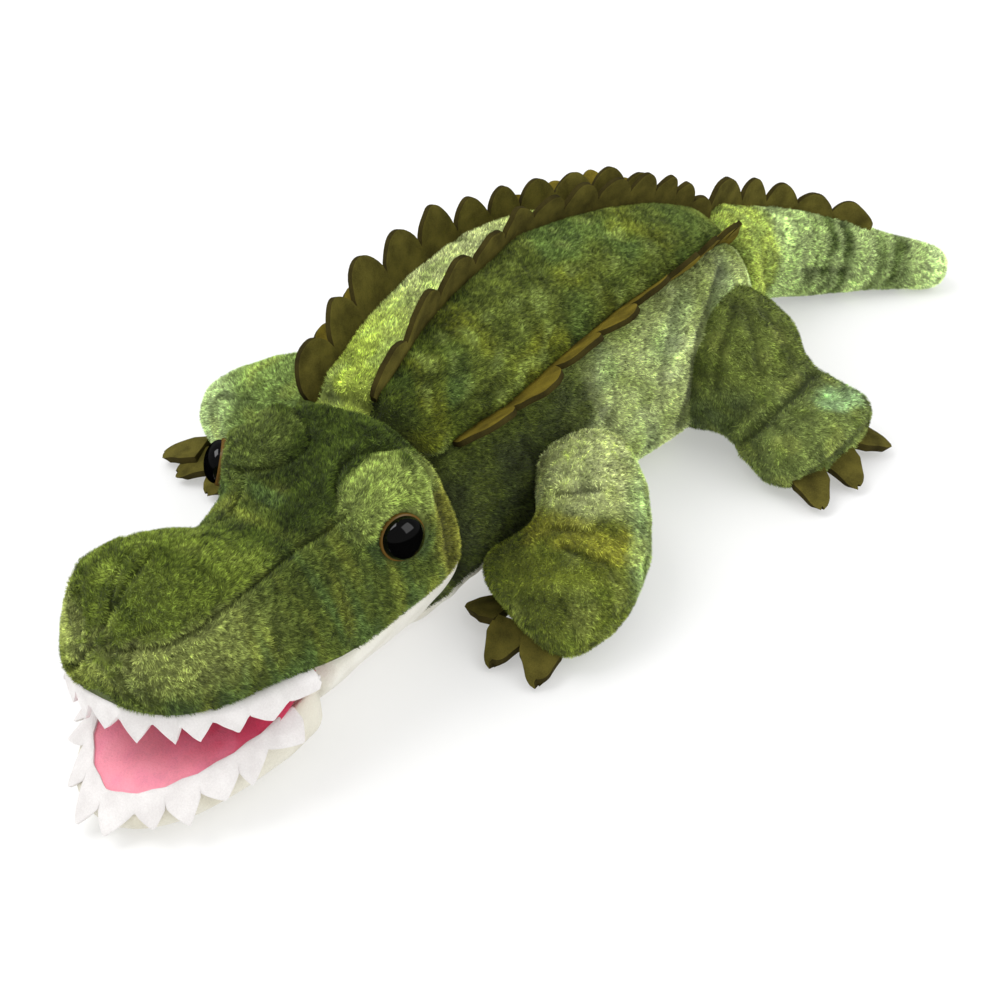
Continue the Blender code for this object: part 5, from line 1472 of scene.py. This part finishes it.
def leg_dye_and_shading(name, index, points, t):
    """Each leg is sewn from another part of the cloth, so each has its own dyes; the front left leg's top
    also gets a painted highlight, and the hind left thigh's underside painted shade.
    """
    px, py = pixels_of(points)

    def uneven(amount, size_mm, seed):
        return amount * noise_at(points, size_mm, seed)

    base, coats = "#8b9a45", []
    if name == "front_left":
        base = "#7b862e"
        from_ankle = np.abs(py - 0.25 * (px - 580) - 536)
        coats = [
            # painted highlight on the leg's top, which faces the light
            ("#d3dc9c", 0.95 * eased(528, 496, py + uneven(12, 9, 3))),
            ("#a8a83c", 0.7 * eased(24, 10, from_ankle + uneven(8, 7, 5))),
            ("#a9c184", 0.7 * eased(622, 640, px + uneven(6, 8, 6))),
            ("#5f6b2a", 0.6 * eased(575, 600, py + uneven(10, 10, 4))),
            ("#828f3a", 0.6 * eased(628, 655, py)),
        ]
    elif name == "hind_left":
        base = "#78863e"
        foot = eased(0.5, 0.66, t)
        mint = eased(1.3, 0.6, np.hypot((px - 838) / 26, (py - 398) / 14) + uneven(0.4, 8, 8))
        coats = [
            # painted shade on the thigh's underside
            ("#69784a", 0.8 * eased(380, 410, py + uneven(10, 12, 7)) * eased(0.62, 0.5, t)),
            ("#7d8c4a", foot),
            ("#b6d69a", 0.9 * foot * mint),
        ]
    elif name == "front_right":
        base = "#8ca458"
        coats = [("#c0d49a", 0.7 * eased(250, 215, px + uneven(8, 9, 9)))]
    coats.append(("#aab55c", 0.4 * streaky(points, 10, 100 + index, 0.05, 0.4)))
    coats.append(("#56661f", 0.45 * streaky(points, 7, 104 + index, 0.05, 0.5)))
    return dyed_and_shaded(points, base, *coats)


for index, (name, (path, shares)) in enumerate(LEGS.items()):
    form = leg_form(path, shares)
    out = 1 if "left" in name else -1
    t, turns = ring_grid(90, 140)
    points = drawn_in(form.skin(t, turns), 1.0)
    points = lumpy(points, (24, 1.2, 90 + index), (10, 0.7, 95 + index))
    points, folds = creased(points, LEG_CREASES[name])
    points = laid(points)
    # painted shade in the leg's creases
    dye_and_shading = leg_dye_and_shading(name, index, points, t) * (1 - 0.65 * folds)[..., None]
    limb = skin_object(name + "_leg_cloth", points, GREEN_PLUSH, dye_and_shading, 1 - 0.8 * folds)
    root_y = path[0][1]
    bend = ((out * 0.034, root_y, 0.03), (out * 0.054, root_y, 0.03))
    across, nap = ("body", name + "_leg"), (out * 0.8, 0.2, -0.5)
    furred(limb, name + "_leg", across, "olive_green_fur", 75000, 120 + index, bend, nap)
    keep(limb, across, "olive_green_fur", name + "_leg", fill=0.6, bend=bend)
    for k, (x, y, toward_x, toward_y) in enumerate(CLAW_PLACES[name]):
        way = unit(np.array((toward_x, toward_y, 0.0)))
        place = np.array((x, y, CLAW_LEVEL)) * (MM, MM, 1)
        piece = claw(f"{name}_claw_{k + 1}_felt", place, way, CLAW_TILT, 200 + 10 * index + k)
        keep(piece, name + "_leg", "olive_felt", f"{name}_claw_{k + 1}")

# The washers stay as they were packed, inside the head
for name in ("eye_washer_left", "eye_washer_right"):
    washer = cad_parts[name]
    washer.data.materials.clear()
    washer.data.materials.append(CLEAR_PLASTIC)

# Stage: a white floor that only keeps the toy's shadow, a white surround, and soft studio lamps
FLOOR_SHADE, FLOOR_GLOW = 0.60, 0.38
SURROUND, SURROUND_REFLECTED = 0.9, 0.12
floor_mesh = bpy.data.meshes.new("floor")
floor_mesh.from_pydata([(-6, -6, 0), (6, -6, 0), (6, 6, 0), (-6, 6, 0)], [], [(0, 1, 2, 3)])
ground = bpy.data.objects.new("floor", floor_mesh)
bpy.context.scene.collection.objects.link(ground)
white, tree, shader = new_material("white_floor", 1.0, Specular_IOR_Level=0.0)
shader.inputs["Emission Color"].default_value = (1, 1, 1, 1)
ray = add(tree, "ShaderNodeLightPath")
for socket, value in (("Base Color", FLOOR_SHADE), ("Emission Strength", FLOOR_GLOW)):
    dimmed = add(tree, "ShaderNodeMapRange", {"Value": ray.outputs["Is Glossy Ray"]}, To_Min=value, To_Max=0)
    tree.links.new(dimmed.outputs[0], shader.inputs[socket])
floor_mesh.materials.append(white)
ground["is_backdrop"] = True

world = bpy.data.worlds.new("studio")
bpy.context.scene.world = world
world.use_nodes = True
tree = world.node_tree
background = tree.nodes["Background"]
background.inputs["Color"].default_value = (1, 1, 1, 1)
ray = add(tree, "ShaderNodeLightPath")
glossy_ray = {"Value": ray.outputs["Is Glossy Ray"]}
dimmed = add(tree, "ShaderNodeMapRange", glossy_ray, To_Min=SURROUND, To_Max=SURROUND_REFLECTED).outputs[0]
seen = add(tree, "ShaderNodeMath", {0: dimmed, 1: ray.outputs["Is Camera Ray"]}, operation="MAXIMUM")
tree.links.new(seen.outputs[0], background.inputs["Strength"])


def lamp(name, place, size, power):
    """A square studio lamp that looks at the origin."""
    light = bpy.data.lights.new(name, "AREA")
    light.shape, light.size, light.energy = "SQUARE", size, power
    made = bpy.data.objects.new(name, light)
    made.location = Vector(place)
    made.rotation_euler = Vector(place).to_track_quat("Z", "Y").to_euler()
    bpy.context.scene.collection.objects.link(made)
    made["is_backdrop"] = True


lamp("window", (-0.5, -0.7, 1.6), size=1.0, power=12)
lamp("fill", (1.3, 0.4, 1.2), size=1.2, power=6)

camera = bpy.data.objects.new("camera", bpy.data.cameras.new("camera"))
camera.data.sensor_width = SENSOR_MM
camera.data.lens = CAMERA_PIXELS / PHOTO_PIXELS * SENSOR_MM
camera.data.clip_start = 0.01
camera.location = CAMERA_PLACE + TOY_SHIFT
camera.rotation_euler = (math.pi / 2 - CAMERA_ELEVATION, 0, CAMERA_AZIMUTH)
bpy.context.scene.collection.objects.link(camera)
bpy.context.scene.camera = camera
bpy.context.scene.view_settings.view_transform = "Standard"

shown_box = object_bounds()
cad, shown = ([list(map(float, v)) for v in box] for box in (cad_box, shown_box))
